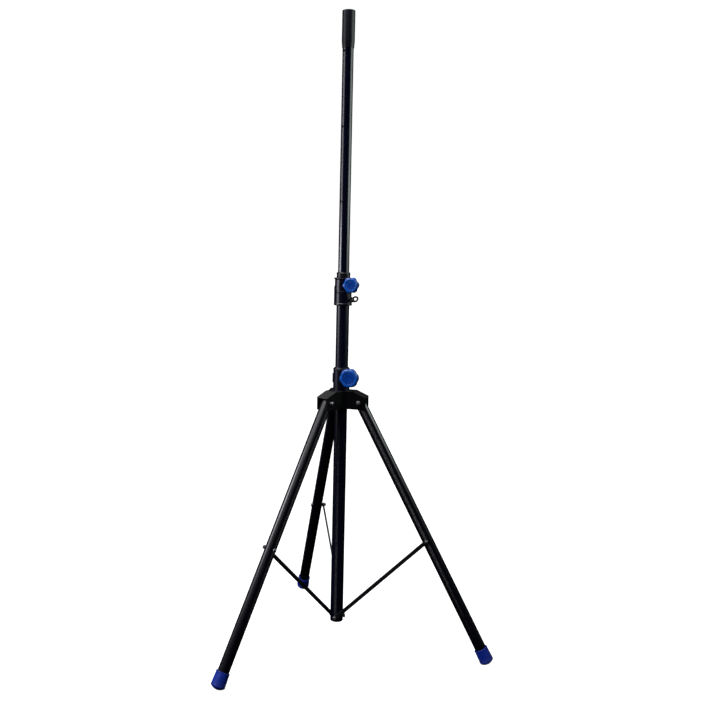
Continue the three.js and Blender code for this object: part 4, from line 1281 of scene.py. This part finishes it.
def build_world():
    world = bpy.data.worlds.new("studio")
    SCENE.world = world
    world.use_nodes = True
    world.node_tree.nodes.clear()
    graph = Graph(world.node_tree)
    output = graph.add("OutputWorld")
    source = graph.add("TexCoord")
    split = graph.add("SeparateXYZ")
    turn = graph.add("VectorRotate", rotation_type="Z_AXIS")
    graph.fill(turn, Angle=VIEW_AZ, Vector=source.outputs["Generated"])
    graph.feed(split.inputs[0], turn.outputs["Vector"])
    sky_x, sky_y, sky_z = split.outputs
    elevation = graph.math("ARCSINE", sky_z)
    height = graph.map_range(elevation, radians(-90), radians(90))
    azimuth = graph.math("ARCTAN2", sky_x, graph.times(sky_y, -1.0))
    gloss, soft = (graph.ramp(height, [((angle + 90) / 180, level) for angle, level in sky])
                   for sky in (SKY_GLOSS, SKY_SOFT))
    patch = graph.times(window(graph, azimuth, PATCH_AZIMUTH),
                        window(graph, elevation, PATCH_ELEVATION))
    patch = graph.times(patch, PATCH_LEVEL)
    gloss = graph.mix(1.0, gloss, graph.mix(1.0, PATCH_COLOUR, patch, "MULTIPLY"), "ADD")
    rays = graph.add("LightPath")
    light = graph.add("Background") if False else None
    surround = graph.mix(rays.outputs["Is Diffuse Ray"], gloss, soft)
    light = graph.add("Background")
    graph.fill(light, Color=surround)
    backdrop = graph.add("Background")
    graph.fill(backdrop, Color=(1, 1, 1, 1), Strength=BACKDROP_LEVEL)
    choice = graph.add("MixShader")
    parts = (rays.outputs["Is Camera Ray"], light.outputs[0], backdrop.outputs[0])
    for socket, value in zip(choice.inputs, parts):
        graph.feed(socket, value)
    graph.fill(output, Surface=choice.outputs[0])


build_world()


# ------------------------------------------------------------------ lights
def softbox(name, where, size, power):
    """Broad soft light aimed at the stand. Its mirror image is left to the glow panels."""
    light = bpy.data.lights.new(name, "AREA")
    light.shape, light.size, light.size_y = "RECTANGLE", size[0], size[1]
    light.energy = power
    ob = link_object(name, light)
    ob.location = where
    ob.rotation_euler = (seen(0, 0, 0.8) - where).to_track_quat("-Z", "Y").to_euler()
    ob.visible_glossy = False


PANEL_DISTANCE = 1.3
PANEL_Z0, PANEL_Z1 = -0.4, 2.4


def glow_panel(name, azimuth, width, colour, stops):
    """Tall panel seen only in gloss. Its brightness follows stops of (height, level)."""
    angle = radians(azimuth)
    middle = Vector((PANEL_DISTANCE * sin(angle), -PANEL_DISTANCE * cos(angle), 0))
    side = Vector((cos(angle), sin(angle), 0)) * (width / 2)
    rows, columns = 24, 8
    verts, faces = [], []
    for j in range(rows + 1):
        rise = Vector((0, 0, PANEL_Z0 + (PANEL_Z1 - PANEL_Z0) * j / rows))
        narrowing = 1 - 0.02 * (j % 2)              # on every other row
        for i in range(columns + 1):
            verts.append(seen(*(middle + side * (2 * i / columns - 1) * narrowing + rise)))
    for j in range(rows):
        for i in range(columns):
            low, high = j * (columns + 1) + i, (j + 1) * (columns + 1) + i
            faces.append((low, low + 1, high + 1, high))
    mesh = new_mesh(name, verts, faces)
    ob = link_object(name, mesh)
    material = bpy.data.materials.new(name)
    material.use_nodes = True
    material.node_tree.nodes.clear()
    graph = Graph(material.node_tree)
    output = graph.add("OutputMaterial")
    glow = graph.add("Emission")
    place = graph.add("NewGeometry")
    split = graph.add("SeparateXYZ")
    graph.feed(split.inputs[0], place.outputs["Position"])
    height = graph.map_range(split.outputs["Z"], PANEL_Z0, PANEL_Z1)
    peak = max(level for _, level in stops)
    level = graph.ramp(height, [((z - PANEL_Z0) / (PANEL_Z1 - PANEL_Z0), value / peak)
                                for z, value in stops])
    graph.fill(glow, Color=graph.mix(1.0, colour, level, "MULTIPLY"), Strength=peak)
    graph.fill(output, Surface=glow.outputs[0])
    mesh.materials.append(material)
    for ray in ("camera", "diffuse", "shadow", "transmission"):
        setattr(ob, f"visible_{ray}", False)


softbox("softbox_left", seen(-2.3, -1.9, 2.1), size=(1.4, 2.0), power=62)
softbox("softbox_right", seen(2.6, -1.2, 1.9), size=(1.2, 1.8), power=16)
glow_panel("glow_left", azimuth=-77, width=0.70, colour=(0.94, 0.91, 1.0), stops=[
    (-0.2, 0.02), (0.2, 0.05), (0.55, 0.5), (0.78, 2.4), (0.92, 5.0), (1.06, 5.2), (1.16, 1.6),
    (1.3, 1.3), (2.3, 1.2)])
glow_panel("glow_right", azimuth=87, width=1.10, colour=(0.88, 1.0, 0.95), stops=[
    (-0.2, 0.005), (0.5, 0.03), (0.8, 0.22), (1.0, 1.4), (1.2, 2.6), (1.5, 1.9), (2.3, 1.3)])

SCENE.view_settings.view_transform = "Standard"
SCENE.view_settings.look = "None"
SCENE.view_settings.exposure = 0.0
SCENE.view_settings.gamma = 1.0

# ------------------------------------------------------------------ camera
PITCH, ROLL, YAW = 0.06144, 0.01827, -0.03506       # radians
camera_data = bpy.data.cameras.new("camera")
camera_data.sensor_fit = "HORIZONTAL"
camera_data.sensor_width = 36.0
camera_data.lens = 46.810103
camera_data.shift_x = 0.058966965
camera_data.shift_y = -0.075570085
camera_data.clip_start, camera_data.clip_end = 0.05, 200
camera = link_object("camera", camera_data)
level_right = Vector((cos(YAW), -sin(YAW), 0))
level_ahead = Vector((sin(YAW), cos(YAW), 0))
ahead = cos(PITCH) * level_ahead + Vector((0, 0, -sin(PITCH)))
pitched_up = sin(PITCH) * level_ahead + Vector((0, 0, cos(PITCH)))
right = cos(ROLL) * level_right + sin(ROLL) * pitched_up
upward = cos(ROLL) * pitched_up - sin(ROLL) * level_right
pose = Matrix((seen(*right), seen(*upward), seen(*(-ahead)))).transposed().to_4x4()
pose.translation = seen(0, -2.47866348, 1.03923775)
camera.matrix_world = pose
SCENE.camera = camera
